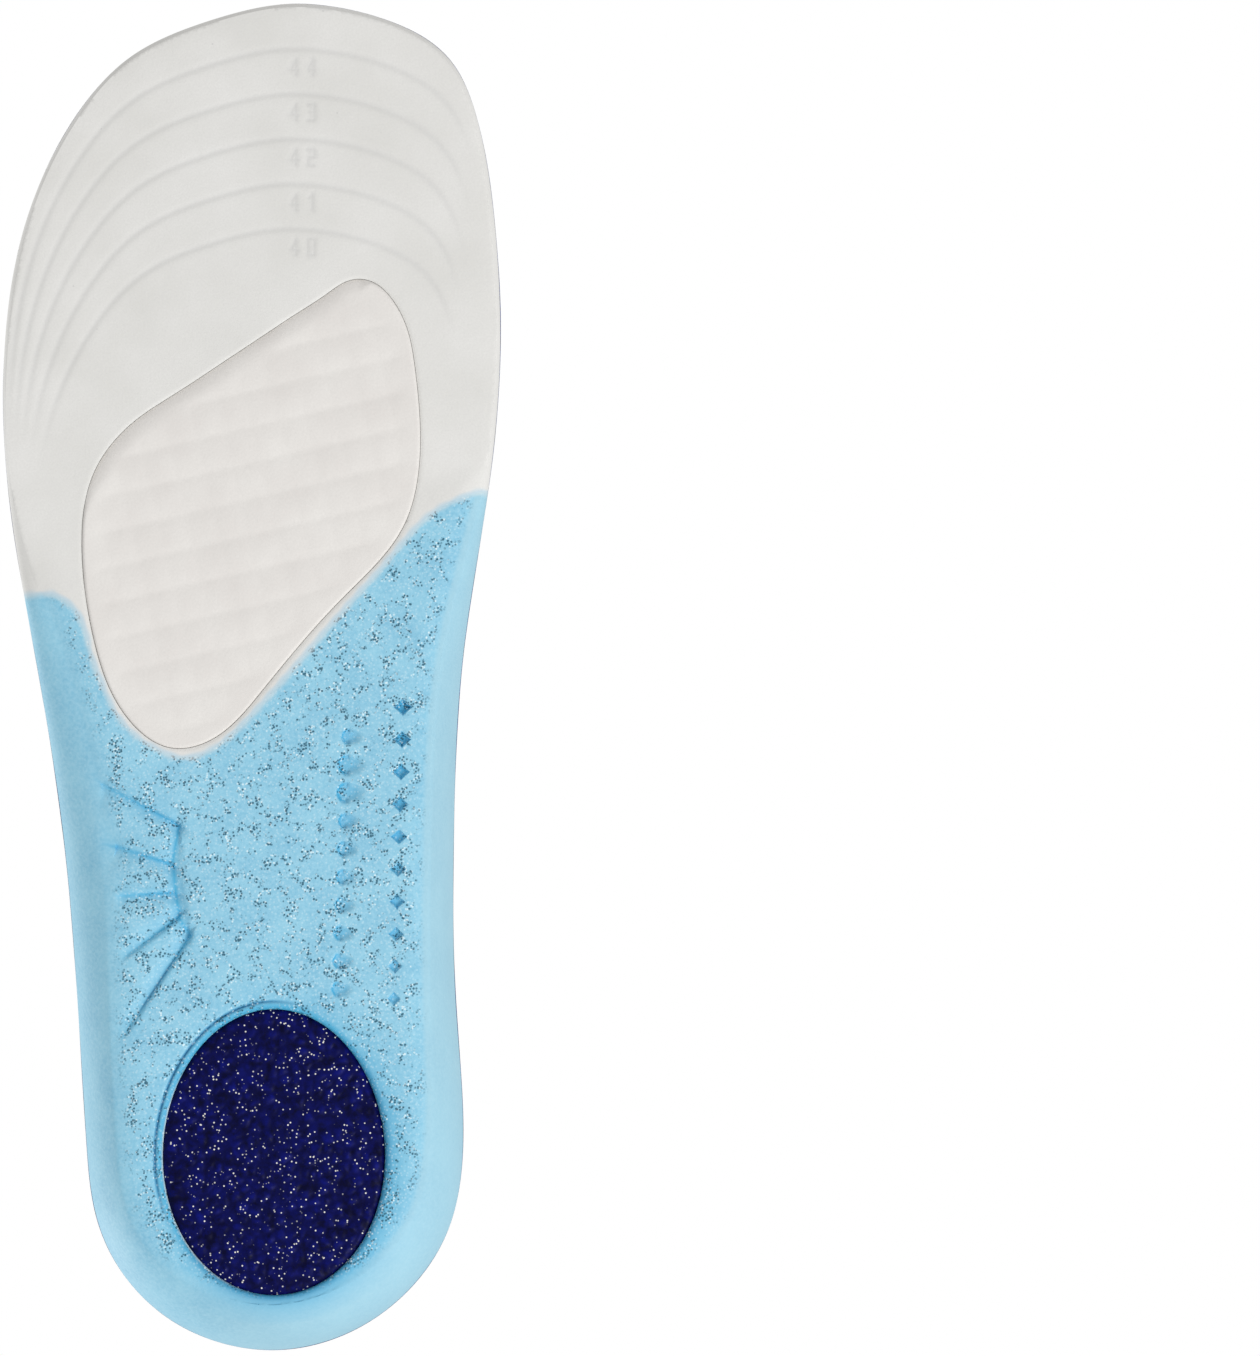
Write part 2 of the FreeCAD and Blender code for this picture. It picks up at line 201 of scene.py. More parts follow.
def inside(points, loop):
    """Which plan points lie inside a closed loop."""
    x, y = points[:, 0], points[:, 1]
    result = np.zeros(len(points), bool)
    for (ax, ay), (bx, by) in zip(loop, np.roll(loop, -1, axis=0)):
        if ay != by:
            crosses = (ay > y) != (by > y)
            result ^= crosses & (x < (bx - ax) * (y - ay) / (by - ay) + ax)
    return result


def plan_box(node):
    """The middle and the half size of a CAD node's box in plan, in millimetres."""
    low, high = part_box(node)
    middle = np.array([(low[k] + high[k]) / 2 / MM for k in (0, 1)])
    half = np.array([(high[k] - low[k]) / 2 / MM for k in (0, 1)])
    return middle, half


def facing(points, centre, way):
    """How much points lie in a direction from a centre: 1 straight that way, -1 straight behind."""
    out = points - centre
    return out @ np.array(way) / np.maximum(np.linalg.norm(out, axis=1), 1e-6)


def smoothstep(x):
    """0 up to x = 0, 1 from x = 1, and an easy curve between them."""
    x = np.clip(x, 0, 1)
    return x * x * (3 - 2 * x)


# ---------------------------------------------------------------- the insole's own outlines and surfaces

COVER_TREE = tree_of("top_cover")
FOAM_TREE = tree_of("forefoot_foam", "rearfoot_shell")
FOREFOOT_TREE = tree_of("forefoot_foam")
RIM_COUNT = 1000
FOAM_DEPTH = COVER_THICKNESS + FILM_THICKNESS

RIM = outline_of(COVER_TREE, np.array([0.0, 5.0]), 150.0, RIM_COUNT, 2.5)
RIM = np.roll(RIM, -int(RIM[:, 1].argmin()), axis=0)
RIM_OUT = normals_of(RIM)


class FootSurface:
    """The foot side's height on a fine grid, read from the cover node and smoothed."""

    step = 1.0
    margin = 12

    def __init__(self):
        self.low = np.floor(RIM.min(0)) - self.margin
        counts = (np.ceil(RIM.max(0) - RIM.min(0)) + 2 * self.margin + 1).astype(int)
        xs = self.low[0] + self.step * np.arange(counts[0])
        ys = self.low[1] + self.step * np.arange(counts[1])
        grid = np.stack(np.meshgrid(xs, ys, indexing="ij"), -1).reshape(-1, 2)
        index, distance = nearest(grid, RIM)
        within = ((RIM[index] - grid) * RIM_OUT[index]).sum(1) > 0.6
        near_edge = [self.measured(RIM - RIM_OUT * depth) for depth in (0.6, 2.6)]
        lean = smooth_closed((near_edge[0] - near_edge[1]) / 2.0, 3)
        edge = smooth_closed(near_edge[0], 2)
        beyond = edge[index] + lean[index] * (((grid - RIM[index]) * RIM_OUT[index]).sum(1) + 0.6)
        heights = np.where(within, self.measured(grid, within), beyond)
        self.heights = self.blurred(heights.reshape(counts), 2.2)

    def measured(self, points, wanted=None):
        """The cover's height under each point, by a ray from above."""
        heights = np.zeros(len(points))
        for i, (x, y) in enumerate(points):
            if wanted is None or wanted[i]:
                heights[i] = seen_from_above(COVER_TREE, x, y) or 0.0
        return heights

    def blurred(self, field, width):
        """A grid smoothed with a Gaussian of a width in steps."""
        reach = int(3 * width)
        kernel = np.exp(-np.arange(-reach, reach + 1) ** 2 / (2 * width * width))
        kernel /= kernel.sum()
        for axis in (0, 1):
            pads = [(reach, reach) if k == axis else (0, 0) for k in (0, 1)]
            padded = np.pad(field, pads, mode="reflect", reflect_type="odd")
            field = np.apply_along_axis(lambda row: np.convolve(row, kernel, "valid"), axis, padded)
        return field

    def at(self, points):
        """The height at plan points, by a smooth bicubic reading of the grid."""
        place = (points - self.low) / self.step
        cell = np.floor(place).astype(int)
        cell = np.clip(cell, 1, np.array(self.heights.shape) - 3)
        part = place - cell
        weights = []
        for k in (0, 1):
            t = part[:, k]
            weights.append([
                -0.5 * t + t * t - 0.5 * t ** 3,
                1 - 2.5 * t * t + 1.5 * t ** 3,
                0.5 * t + 2 * t * t - 1.5 * t ** 3,
                -0.5 * t * t + 0.5 * t ** 3,
            ])
        total = np.zeros(len(points))
        for i in range(4):
            for j in range(4):
                value = self.heights[cell[:, 0] + i - 1, cell[:, 1] + j - 1]
                total += weights[0][i] * weights[1][j] * value
        return total


FOOT = FootSurface()
ARCH_CREASE = resample([(46.0, -35.0), (36.0, -30.6), (28.0, -23.0), (15.0, -6.4), (8.0, 6.0)], 60, False)
HEEL_CROWN = ((2.3, 76.0), (14.3, 22.4))
CROWN_SOFT = 0.8
CROWN_CRISP = 0.95
CREASE_RISE = 0.55


def crease_side(plan):
    """How far points are on the heel side of the arch crease."""
    index, _ = nearest(plan, ARCH_CREASE)
    return ((plan - ARCH_CREASE[index]) * normals_of(ARCH_CREASE, False)[index]).sum(1)


def foot_height(points):
    """The foot side: the measured surface with a crisper heel crown and arch crease."""
    (cx, cy), (a, b) = HEEL_CROWN
    reach = np.hypot((points[:, 0] - cx) / a, (points[:, 1] - cy) / b)
    soft = CROWN_SOFT * (1 + np.cos(math.pi * np.clip(reach, 0, 1))) / 2
    crisp = CROWN_CRISP * smoothstep((1.06 - reach) * a / 3.4)
    distance, share = from_line(points, ARCH_CREASE)
    behind = smoothstep((crease_side(points) + 1.2) / 3.0) * smoothstep((30 - points[:, 1]) / 40)
    ends = smoothstep(share * 8) * smoothstep((1 - share) * 4)
    across = smoothstep((points[:, 0] - 2) / 10)
    crease = CREASE_RISE * behind * across * smoothstep((26 - distance) / 20) * np.maximum(ends, 0.25)
    return FOOT.at(points) - soft + crisp + crease


def layer(points, depth):
    """The height of the surface that lies a depth under the foot side, measured square to it."""
    probe = 0.4
    height = foot_height(points)
    lean_x = (foot_height(points + [probe, 0]) - foot_height(points - [probe, 0])) / (2 * probe)
    lean_y = (foot_height(points + [0, probe]) - foot_height(points - [0, probe])) / (2 * probe)
    return height - depth * np.sqrt(1 + lean_x ** 2 + lean_y ** 2)


def split_line():
    """The plan line between the white and the blue foam, from the lateral rim to the medial one."""
    row = []
    for x in np.linspace(-41.6, 43.4, 300):
        found = last_inside(
            lambda p: seen_from_above(FOREFOOT_TREE, p[0], p[1]) is not None,
            np.array([x, -45.0]),
            np.array([x, 30.0]),
        )
        row.append(found)
    row = resample(np.array(row), 260, False)
    relax(row, 6)
    return row


SPLIT = split_line()
PAD_CENTRE, _ = plan_box("metatarsal_pad")
PAD_LOOP = outline_of(tree_of("metatarsal_pad"), PAD_CENTRE, 80.0, 440, 2.0)
GEL_CENTRE, GEL_HALF = plan_box("heel_gel_pad")
GEL_EGG = 0.03


def gel_loop(wider, count=300):
    """The gel's oval, broader towards the heel by its egg share, and wider all round by a distance."""
    turn = np.linspace(0, 2 * math.pi, count, endpoint=False)
    across = np.cos(turn) * (1 + GEL_EGG * np.sin(turn))
    return GEL_CENTRE + np.stack([across, np.sin(turn)], 1) * (GEL_HALF + wider)


def gel_oval(points):
    """Points in the oval's own measure, which is 1 from the centre to the gel's edge."""
    oval = (points - GEL_CENTRE) / GEL_HALF
    oval[:, 0] /= 1 + GEL_EGG * np.clip(oval[:, 1], -1.2, 1.2)
    return oval


def sole_level(points):
    """The flat sole's height: the white foam is a little off the ground and comes down to the blue one."""
    distance, _ = from_line(points, SPLIT)
    index, _ = nearest(points, SPLIT)
    front = ((points - SPLIT[index]) * normals_of(SPLIT, False)[index]).sum(1) > 0
    return np.where(front, FOREFOOT_LIFT * smoothstep(distance / 6.0), 0.0)


WALL_ROWS = np.array([
    0, 0.02, 0.05, 0.09, 0.14, 0.2, 0.27, 0.35, 0.44, 0.54, 0.64, 0.74, 0.83, 0.91, 0.96, 1.0,
])
RAY_CLEARANCE = 0.03


def side_wall():
    """The side wall as rows of points, from the sole's edge to the top of the foam at the rim."""
    top = layer(RIM, FOAM_DEPTH)
    base = smooth_closed(sole_level(RIM * 0.97), 3)
    lowest = np.where(base > 0.02, FOREFOOT_LIFT + RAY_CLEARANCE, RAY_CLEARANCE)
    rows = np.empty((len(WALL_ROWS), RIM_COUNT, 3))
    for k, share in enumerate(WALL_ROWS):
        heights = base + (top - base) * share
        for i in range(RIM_COUNT):
            z = min(max(heights[i], lowest[i]), top[i] - 0.05)
            out = Vector((RIM_OUT[i, 0], RIM_OUT[i, 1], 0))
            start = Vector((RIM[i, 0], RIM[i, 1], z)) + out * 20
            place = FOAM_TREE.ray_cast(start, -out)[0]
            rows[k, i, :2] = RIM[i] if place is None else place[:2]
        rows[k, :, 2] = heights
    depth = ((RIM[None] - rows[:, :, :2]) * RIM_OUT[None]).sum(2)
    depth[-1] = 0
    for k in range(1, len(WALL_ROWS)):
        depth[k] = np.clip(depth[k], 0, depth[k - 1])
    for k in range(len(WALL_ROWS)):
        depth[k] = smooth_closed(depth[k], 4)
    relax(depth, 3)
    depth = np.clip(depth, 0, None)
    rows[:, :, :2] = RIM[None] - RIM_OUT[None] * depth[:, :, None]
    rows[:, :, 2] += edge_lift(base) * (1 - WALL_ROWS[:, None]) ** 4
    return rows


def edge_lift(base):
    """How far the rounding lifts the sole at its edge: more under the blue foam than the white one."""
    return 0.12 + 0.85 * (1 - base / FOREFOOT_LIFT)


WALL = side_wall()
SOLE_EDGE = WALL[0, :, :2]


def edge_rounding(points, level):
    """The lift of the sole near its edge, which meets the side wall in a soft curve."""
    distance, _ = from_line(points, SOLE_EDGE[::2], closed=True)
    reach = 3.0 + 2.5 * (1 - level / FOREFOOT_LIFT)
    return edge_lift(level) * (1 - np.clip(distance / reach, 0, 1)) ** 2


# ---------------------------------------------------------------- plan meshes and closed shells

def thin(points, cell):
    """Drops points that share a small cell with an earlier one."""
    keys = np.round(points / cell).astype(int)
    _, first = np.unique(keys, axis=0, return_index=True)
    return points[np.sort(first)]


def lattice(low, high, step):
    """Points of a staggered lattice over a box, in nearly even triangles."""
    rows = np.arange(low[1], high[1], step * 0.866)
    points = []
    for number, y in enumerate(rows):
        xs = np.arange(low[0] + (number % 2) * step / 2, high[0], step)
        points.append(np.stack([xs, np.full(len(xs), y)], 1))
    return np.vstack(points)


GUIDE_GAP = 0.22


def fill(loop, holes, step, guides=None, own=None):
    """Triangles that fill a loop less its holes, through guide points and a lattice or its own points."""
    loops = [loop, *holes]
    edge = np.vstack(loops)

    def wanted(points, gap):
        points = points[inside(points, loop)]
        for hole in holes:
            points = points[~inside(points, hole)]
        _, distance = nearest(points, edge)
        return points[distance > gap]

    taken = [edge]
    field = own if own is not None else lattice(loop.min(0), loop.max(0), step)
    field = wanted(field, 0.55 * step)
    if guides is not None:
        guides = thin(wanted(guides, GUIDE_GAP), GUIDE_GAP)
        _, distance = nearest(field, guides)
        field = field[distance > 0.6 * step]
        taken.append(guides)
    taken = np.vstack([*taken, field])
    edges = []
    first = 0
    for ring in loops:
        count = len(ring)
        edges += [(first + i, first + (i + 1) % count) for i in range(count)]
        first += count
    made = delaunay_2d_cdt([Vector(p) for p in taken], edges, [], 1, 1e-6, False)
    points = np.array([tuple(v) for v in made[0]])
    triangles = np.array(made[2])
    centres = points[triangles].mean(1)
    keep = inside(centres, loop)
    for hole in holes:
        keep &= ~inside(centres, hole)
    return points, triangles[keep]


WELD = 2e-4


class Shell:
    """Patches that share their edges, welded into one closed mesh."""

    def __init__(self):
        self.points = []
        self.faces = []
        self.count = 0

    def patch(self, points, faces, flip=False):
        """Faces over points of their own, turned over where asked."""
        for face in faces:
            ring = [self.count + int(i) for i in face]
            self.faces.append(ring[::-1] if flip else ring)
        self.points.append(np.asarray(points, float))
        self.count += len(points)

    def surface(self, plan, triangles, heights, upward):
        """A height field over a plan mesh."""
        a, b, c = plan[triangles[0]]
        anticlockwise = (b - a)[0] * (c - a)[1] - (b - a)[1] * (c - a)[0] > 0
        self.patch(np.column_stack([plan, heights]), triangles, flip=anticlockwise != upward)

    def strip(self, first, second, closed=False):
        """Quads between two rows of points."""
        count = len(first)
        last = count if closed else count - 1
        faces = [(i, (i + 1) % count, count + (i + 1) % count, count + i) for i in range(last)]
        self.patch(np.vstack([first, second]), faces)

    def build(self, name, material, attributes=None):
        """The welded mesh as an object in metres, with smooth shading and its point attributes."""
        points = np.vstack(self.points)
        keys = np.round(points / WELD).astype(np.int64)
        _, first, inverse = np.unique(keys, axis=0, return_index=True, return_inverse=True)
        inverse = inverse.ravel()
        points = points[first]
        faces = []
        for face in self.faces:
            ring = [int(inverse[i]) for i in face]
            ring = [v for k, v in enumerate(ring) if v != ring[k - 1]]
            if len(ring) > 2:
                faces.append(ring)
        mesh = bpy.data.meshes.new(name)
        mesh.from_pydata((points * MM).tolist(), [], faces)
        mesh.validate()
        mesh.update()
        piece = bpy.data.objects.new(name, mesh)
        bpy.context.scene.collection.objects.link(piece)
        mesh.shade_smooth()
        mesh.set_sharp_from_angle(angle=math.radians(50))
        mesh.materials.append(material)
        for key, function in (attributes or {}).items():
            layer_data = mesh.attributes.new(key, "FLOAT", "POINT")
            layer_data.data.foreach_set("value", np.asarray(function(points), np.float32))
        return piece


def with_height(plan, heights):
    """Plan points with their heights."""
    return np.column_stack([plan, heights])


# ---------------------------------------------------------------- materials

def srgb(red, green, blue):
    """A display colour of 0 to 255 as linear light."""
    def linear(value):
        value /= 255
        return value / 12.92 if value <= 0.04045 else ((value + 0.055) / 1.055) ** 2.4
    return (linear(red), linear(green), linear(blue), 1.0)


class Nodes:
    """A short way to write a material's nodes."""

    def __init__(self, name):
        self.material = bpy.data.materials.new(name)
        self.material.use_nodes = True
        self.tree = self.material.node_tree
        self.shader = self.tree.nodes["Principled BSDF"]
        place = self.tree.nodes.new("ShaderNodeTexCoord")
        self.place = place.outputs["Object"]

    def add(self, kind, inputs=None, **settings):
        node = self.tree.nodes.new("ShaderNode" + kind)
        for key, value in settings.items():
            setattr(node, key, value)
        for key, value in (inputs or {}).items():
            if isinstance(value, bpy.types.NodeSocket):
                self.tree.links.new(value, node.inputs[key])
            else:
                node.inputs[key].default_value = value
        return node

    def even(self, size, turn=0.0):
        """Object coordinates times one scale: metres in, cells out."""
        return self.scaled(size, size, size, turn)

    def scaled(self, x, y, z, turn=0.0):
        """Object coordinates times a scale per axis, turned about Z."""
        node = self.add("Mapping", {"Vector": self.place, "Rotation": (0, 0, turn), "Scale": (x, y, z)})
        return node.outputs[0]

    def noise(self, vector, detail=3.0, roughness=0.5):
        inputs = {"Vector": vector, "Scale": 1.0, "Detail": detail, "Roughness": roughness}
        return self.add("TexNoise", inputs).outputs[0]

    def voronoi(self, vector):
        """The distance to the nearest of one scattered point per cell."""
        return self.add("TexVoronoi", {"Vector": vector, "Scale": 1.0}).outputs["Distance"]

    def range(self, value, low, high, to_low=0.0, to_high=1.0, smooth=False):
        """A value taken from one range to another, and held at its ends."""
        inputs = {"Value": value, "From Min": low, "From Max": high, "To Min": to_low, "To Max": to_high}
        kind = "SMOOTHSTEP" if smooth else "LINEAR"
        return self.add("MapRange", inputs, interpolation_type=kind, clamp=True).outputs[0]

    def math(self, operation, first, second=0.0):
        return self.add("Math", {0: first, 1: second}, operation=operation).outputs[0]

    def mix(self, share, first, second, blend="MIX"):
        """The first colour turned into the second by a share; the sockets are a colour Mix node's."""
        inputs = {0: share, 6: first, 7: second}
        return self.add("Mix", inputs, data_type="RGBA", blend_type=blend).outputs[2]

    def attribute(self, name):
        return self.add("Attribute", attribute_name=name).outputs["Fac"]

    def axis(self, name):
        return self.add("SeparateXYZ", {"Vector": self.place}).outputs[name]

    def bump(self, height, depth, strength):
        """A bump whose height of 1 stands for a depth in millimetres."""
        inputs = {"Height": height, "Distance": depth * MM, "Strength": strength}
        return self.add("Bump", inputs).outputs[0]

    def set(self, **inputs):
        """Sets or links the shader's sockets, and gives the finished material."""
        for key, value in inputs.items():
            name = key.replace("_", " ")
            if isinstance(value, bpy.types.NodeSocket):
                self.tree.links.new(value, self.shader.inputs[name])
            else:
                self.shader.inputs[name].default_value = value
        return self.material


BLUE_FOAM = srgb(139, 199, 228)
WHITE_FOAM = srgb(224, 223, 219)


def white_foam():
    """Moulded white foam: a matt skin with faint clouds, fine grain and a few specks."""
    n = Nodes("white_foam")
    clouds = n.range(n.noise(n.even(60), detail=4), 0.3, 0.7)
    grain = n.noise(n.even(2600), detail=2)
    colour = n.mix(clouds, srgb(220, 219, 215), srgb(229, 228, 225))
    colour = n.mix(n.range(grain, 0.3, 0.8, 0.0, 0.3), colour, srgb(205, 204, 202))
    specks = n.range(n.voronoi(n.even(150)), 0.0, 0.035, 0.5, 0.0)
    colour = n.mix(specks, colour, srgb(160, 160, 162))
    # painted shade in the trim grooves and size marks
    colour = n.mix(n.math("MULTIPLY", n.attribute("groove"), 0.5), colour, srgb(190, 190, 190))
    colour = n.mix(n.attribute("tint"), colour, BLUE_FOAM)
    height = n.math("ADD", grain, n.math("MULTIPLY", n.noise(n.even(700)), 1.5))
    return n.set(Base_Color=colour, Roughness=0.72, Normal=n.bump(height, 0.05, 0.6))


def pad_foam():
    """The insert: a slightly warmer and softer white foam."""
    n = Nodes("pad_foam")
    clouds = n.range(n.noise(n.even(90), detail=4), 0.3, 0.7)
    grain = n.noise(n.even(2200), detail=2)
    colour = n.mix(clouds, srgb(224, 220, 216), srgb(231, 228, 224))
    colour = n.mix(n.range(grain, 0.3, 0.8, 0.0, 0.25), colour, srgb(208, 205, 202))
    height = n.math("ADD", grain, n.math("MULTIPLY", n.noise(n.even(500)), 1.5))
    return n.set(Base_Color=colour, Roughness=0.78, Normal=n.bump(height, 0.06, 0.6))


def blue_foam():
    """Light blue foam: mottled, with patches of open pores, painted glints on the cell walls, and a smooth
    side.
    """
    n = Nodes("blue_foam")
    clouds = n.range(n.noise(n.even(120), detail=5, roughness=0.6), 0.32, 0.68)
    colour = n.mix(clouds, srgb(121, 186, 215), srgb(142, 202, 226))
    grain = n.noise(n.even(1500), detail=3, roughness=0.6)
    colour = n.mix(n.range(grain, 0.35, 0.75, 0.0, 0.5), colour, srgb(176, 222, 240))
    field = n.math("SUBTRACT", 1.0, n.attribute("wall"))
    patches = n.range(n.noise(n.even(330), detail=3, roughness=0.65), 0.5, 0.57)
    patches = n.math("MULTIPLY", patches, field)
    pores = n.range(n.voronoi(n.even(1900)), 0.28, 0.5, 1.0, 0.0)
    cells = n.range(n.voronoi(n.even(1600, turn=0.7)), 0.2, 0.4, 1.0, 0.0)
    pores = n.math("MULTIPLY", pores, patches)
    # painted glints: near-white points on the cell walls that stand for highlights, none on the side wall
    painted_glints = n.math("MULTIPLY", cells, n.range(patches, 0.0, 1.0, 0.22, 0.8))
    painted_glints = n.math("MULTIPLY", painted_glints, field)
    # the side wall a little paler all round, with painted light making it paler on the arch side
    colour = n.mix(n.math("MULTIPLY", n.attribute("paler_and_lit_wall"), 0.6), colour, srgb(166, 205, 219))
    # painted shade in the diamonds, dimples, fan lines and round the gel
    colour = n.mix(n.attribute("recess"), colour, srgb(62, 170, 212))
    # the darkest painted shade: the ring crease, the last fan ray and the foot of the gel's lip
    colour = n.mix(n.attribute("crease"), colour, srgb(18, 84, 132))
    colour = n.mix(painted_glints, colour, srgb(230, 248, 252))
    # painted highlight along the lateral edge of the gel's hole
    colour = n.mix(n.attribute("lip"), colour, srgb(238, 248, 252))
    colour = n.mix(n.math("MULTIPLY", pores, 0.95), colour, srgb(30, 92, 116))
    colour = n.mix(n.attribute("tint"), colour, WHITE_FOAM)
    height = n.math("SUBTRACT", n.math("MULTIPLY", grain, 0.5), pores)
    return n.set(Base_Color=colour, Roughness=0.62, Normal=n.bump(height, 0.14, 0.7))


def heel_gel():
    """Deep blue soft gel: satin, with painted shade between its bubbles and pin-point flecks that are
    painted sparkle highlights.
    """
    n = Nodes("heel_gel")
    clouds = n.range(n.noise(n.even(420), detail=5, roughness=0.65), 0.35, 0.68)
    colour = n.mix(clouds, srgb(1, 2, 44), srgb(9, 18, 112))
    # painted shade in the creases between the bubbles
    colour = n.mix(n.range(n.attribute("bubble"), 0.0, 0.6, 0.5, 0.0), colour, srgb(1, 1, 34))
    # pin-point flecks in groups: painted sparkle highlights
    flecks = n.range(n.voronoi(n.even(1250)), 0.12, 0.24, 1.0, 0.0)
    groups = n.range(n.noise(n.even(420), detail=2), 0.45, 0.55)
    colour = n.mix(n.math("MULTIPLY", flecks, groups), colour, srgb(244, 242, 232))
    grain = n.noise(n.even(1800), detail=2)
    rough = n.range(grain, 0.3, 0.7, 0.36, 0.55)
    normal = n.bump(grain, 0.05, 0.5)
    return n.set(Base_Color=colour, Roughness=rough, Normal=normal, Specular_IOR_Level=0.08)


def bond_film():
    """Hot-melt film: milky and satin."""
    n = Nodes("bond_film")
    clouds = n.range(n.noise(n.even(400)), 0.3, 0.7)
    colour = n.mix(clouds, srgb(205, 208, 212), srgb(222, 224, 226))
    return n.set(Base_Color=colour, Roughness=0.45)


COURSE = 0.8


def knit():
    """Heather knit: blue yarn in lengthwise ribs, with pale yarn that shows in flecks across the foot."""
    n = Nodes("cover_knit")
    x, y = n.axis("X"), n.axis("Y")
    wale, course = 0.5 * RIB_PITCH * MM, COURSE * MM
    across = n.math("FRACT", n.math("DIVIDE", x, wale))
    leg = n.math("ABSOLUTE", n.math("SUBTRACT", across, 0.5))
    rise = n.math("ADD", n.math("DIVIDE", y, course), n.math("MULTIPLY", leg, 1.3))
    rise = n.math("ADD", rise, n.math("MULTIPLY", n.noise(n.scaled(1000, 800, 800), detail=1), 1.5))
    stitch = n.math("FRACT", rise)
    rounded = n.math("SINE", n.math("MULTIPLY", stitch, math.pi))
    valley = n.range(leg, 0.34, 0.5, 1.0, 0.6)
    loops = n.math("MULTIPLY", rounded, valley)
    rib = n.math("FRACT", n.math("ADD", n.math("DIVIDE", x, 2 * wale), 0.5))
    rib = n.math("ABSOLUTE", n.math("SUBTRACT", rib, 0.5))
    furrow = n.range(rib, 0.04, 0.13, 1.0, 0.0, smooth=True)

    dashes = n.noise(n.scaled(250, 1000, 60), detail=2.5, roughness=0.6)
    broad = n.noise(n.scaled(40, 70, 25), detail=3)
    share = n.math("ADD", dashes, n.math("MULTIPLY", broad, 0.3))
    share = n.math("ADD", share, n.math("MULTIPLY", n.attribute("flecks"), 0.335))
    upright = n.add("SeparateXYZ", {"Vector": n.add("NewGeometry").outputs["Normal"]}).outputs["Z"]
    flat = n.range(upright, 0.25, 0.55)
    fleck = n.math("MULTIPLY", n.range(share, 0.81, 0.85, smooth=True), flat)
    yarn = n.noise(n.scaled(3000, 1500, 1500), detail=2)
    blue = n.mix(n.range(yarn, 0.3, 0.7), srgb(8, 50, 146), srgb(24, 84, 190))
    # painted shade on the arch and heel walls and at the heel crown's toe end
    blue = n.mix(n.math("MULTIPLY", n.attribute("shade"), 0.75), blue, srgb(4, 26, 78))
    pale = n.mix(n.range(yarn, 0.3, 0.7), srgb(176, 184, 206), srgb(242, 241, 234))
    twist = n.math("MULTIPLY", n.noise(n.scaled(1300, 1500, 900)), 0.9)
    thread = n.range(n.math("ADD", loops, twist), 1.19, 1.35)
    # the ground between the pale threads: the blue yarn painted in shade
    shaded_ground = n.mix(n.range(yarn, 0.3, 0.7), srgb(3, 12, 54), srgb(11, 34, 98))
    flecked = n.mix(thread, shaded_ground, pale)
    ends = n.range(n.noise(n.even(1800), detail=2), 0.35, 0.65)
    cut = n.mix(ends, srgb(5, 26, 86), srgb(16, 62, 150))
    colour = n.mix(flat, cut, n.mix(fleck, blue, flecked))
    # painted shade between the stitches and in the rib furrows, multiplied over the colour
    depth = n.range(loops, 0.0, 0.6, 0.45, 1.0)
    depth = n.math("MULTIPLY", depth, n.math("SUBTRACT", 1.0, n.math("MULTIPLY", furrow, 0.8)))
    stitch_shade = n.add("CombineColor", {0: depth, 1: depth, 2: depth}).outputs[0]
    colour = n.mix(0.9, colour, stitch_shade, "MULTIPLY")
    height = n.math("ADD", loops, n.math("MULTIPLY", yarn, 0.4))
    n.set(Sheen_Weight=0.06, Sheen_Roughness=0.5, Specular_IOR_Level=0.2)
    return n.set(Base_Color=colour, Roughness=0.9, Normal=n.bump(height, 0.22, 0.8))


MATERIALS = {make.__name__: make() for make in (white_foam, pad_foam, blue_foam, heel_gel, bond_film, knit)}


# ---------------------------------------------------------------- the foams

ON_SOLE = SPLIT[inside(SPLIT, SOLE_EDGE)]
MEDIAL_END = int(nearest(ON_SOLE[-1:], SOLE_EDGE)[0][0])
LATERAL_END = int(nearest(ON_SOLE[:1], SOLE_EDGE)[0][0])
FRONT_ARC = np.r_[LATERAL_END:RIM_COUNT, 0:MEDIAL_END + 1]
BACK_ARC = np.arange(MEDIAL_END, LATERAL_END + 1)


def split_path():
    """The split within the sole, from the arcs' lateral end to their medial one."""
    ends = SOLE_EDGE[[LATERAL_END, MEDIAL_END]]
    _, distance = nearest(ON_SOLE, SOLE_EDGE)
    return resample(np.vstack([ends[:1], ON_SOLE[distance > 1.5], ends[1:]]), 240, False)


SPLIT_PATH = split_path()
BORDER = resample(np.vstack([RIM[[LATERAL_END]], SPLIT_PATH, RIM[[MEDIAL_END]]]), 300, False)


def column(i):
    """The wall's points at one place on the rim, and those on which the foam's top stands."""
    low = WALL[:, i]
    plan = [low[0, :2]]
    for point in low[1:, :2]:
        if np.linalg.norm(point - plan[-1]) > 0.02:
            plan.append(point)
    plan[-1] = RIM[i]
    return low, np.array(plan)


def foam_top(points):
    """The height of the foams' top, under the cover and its film."""
    return layer(points, FOAM_DEPTH)


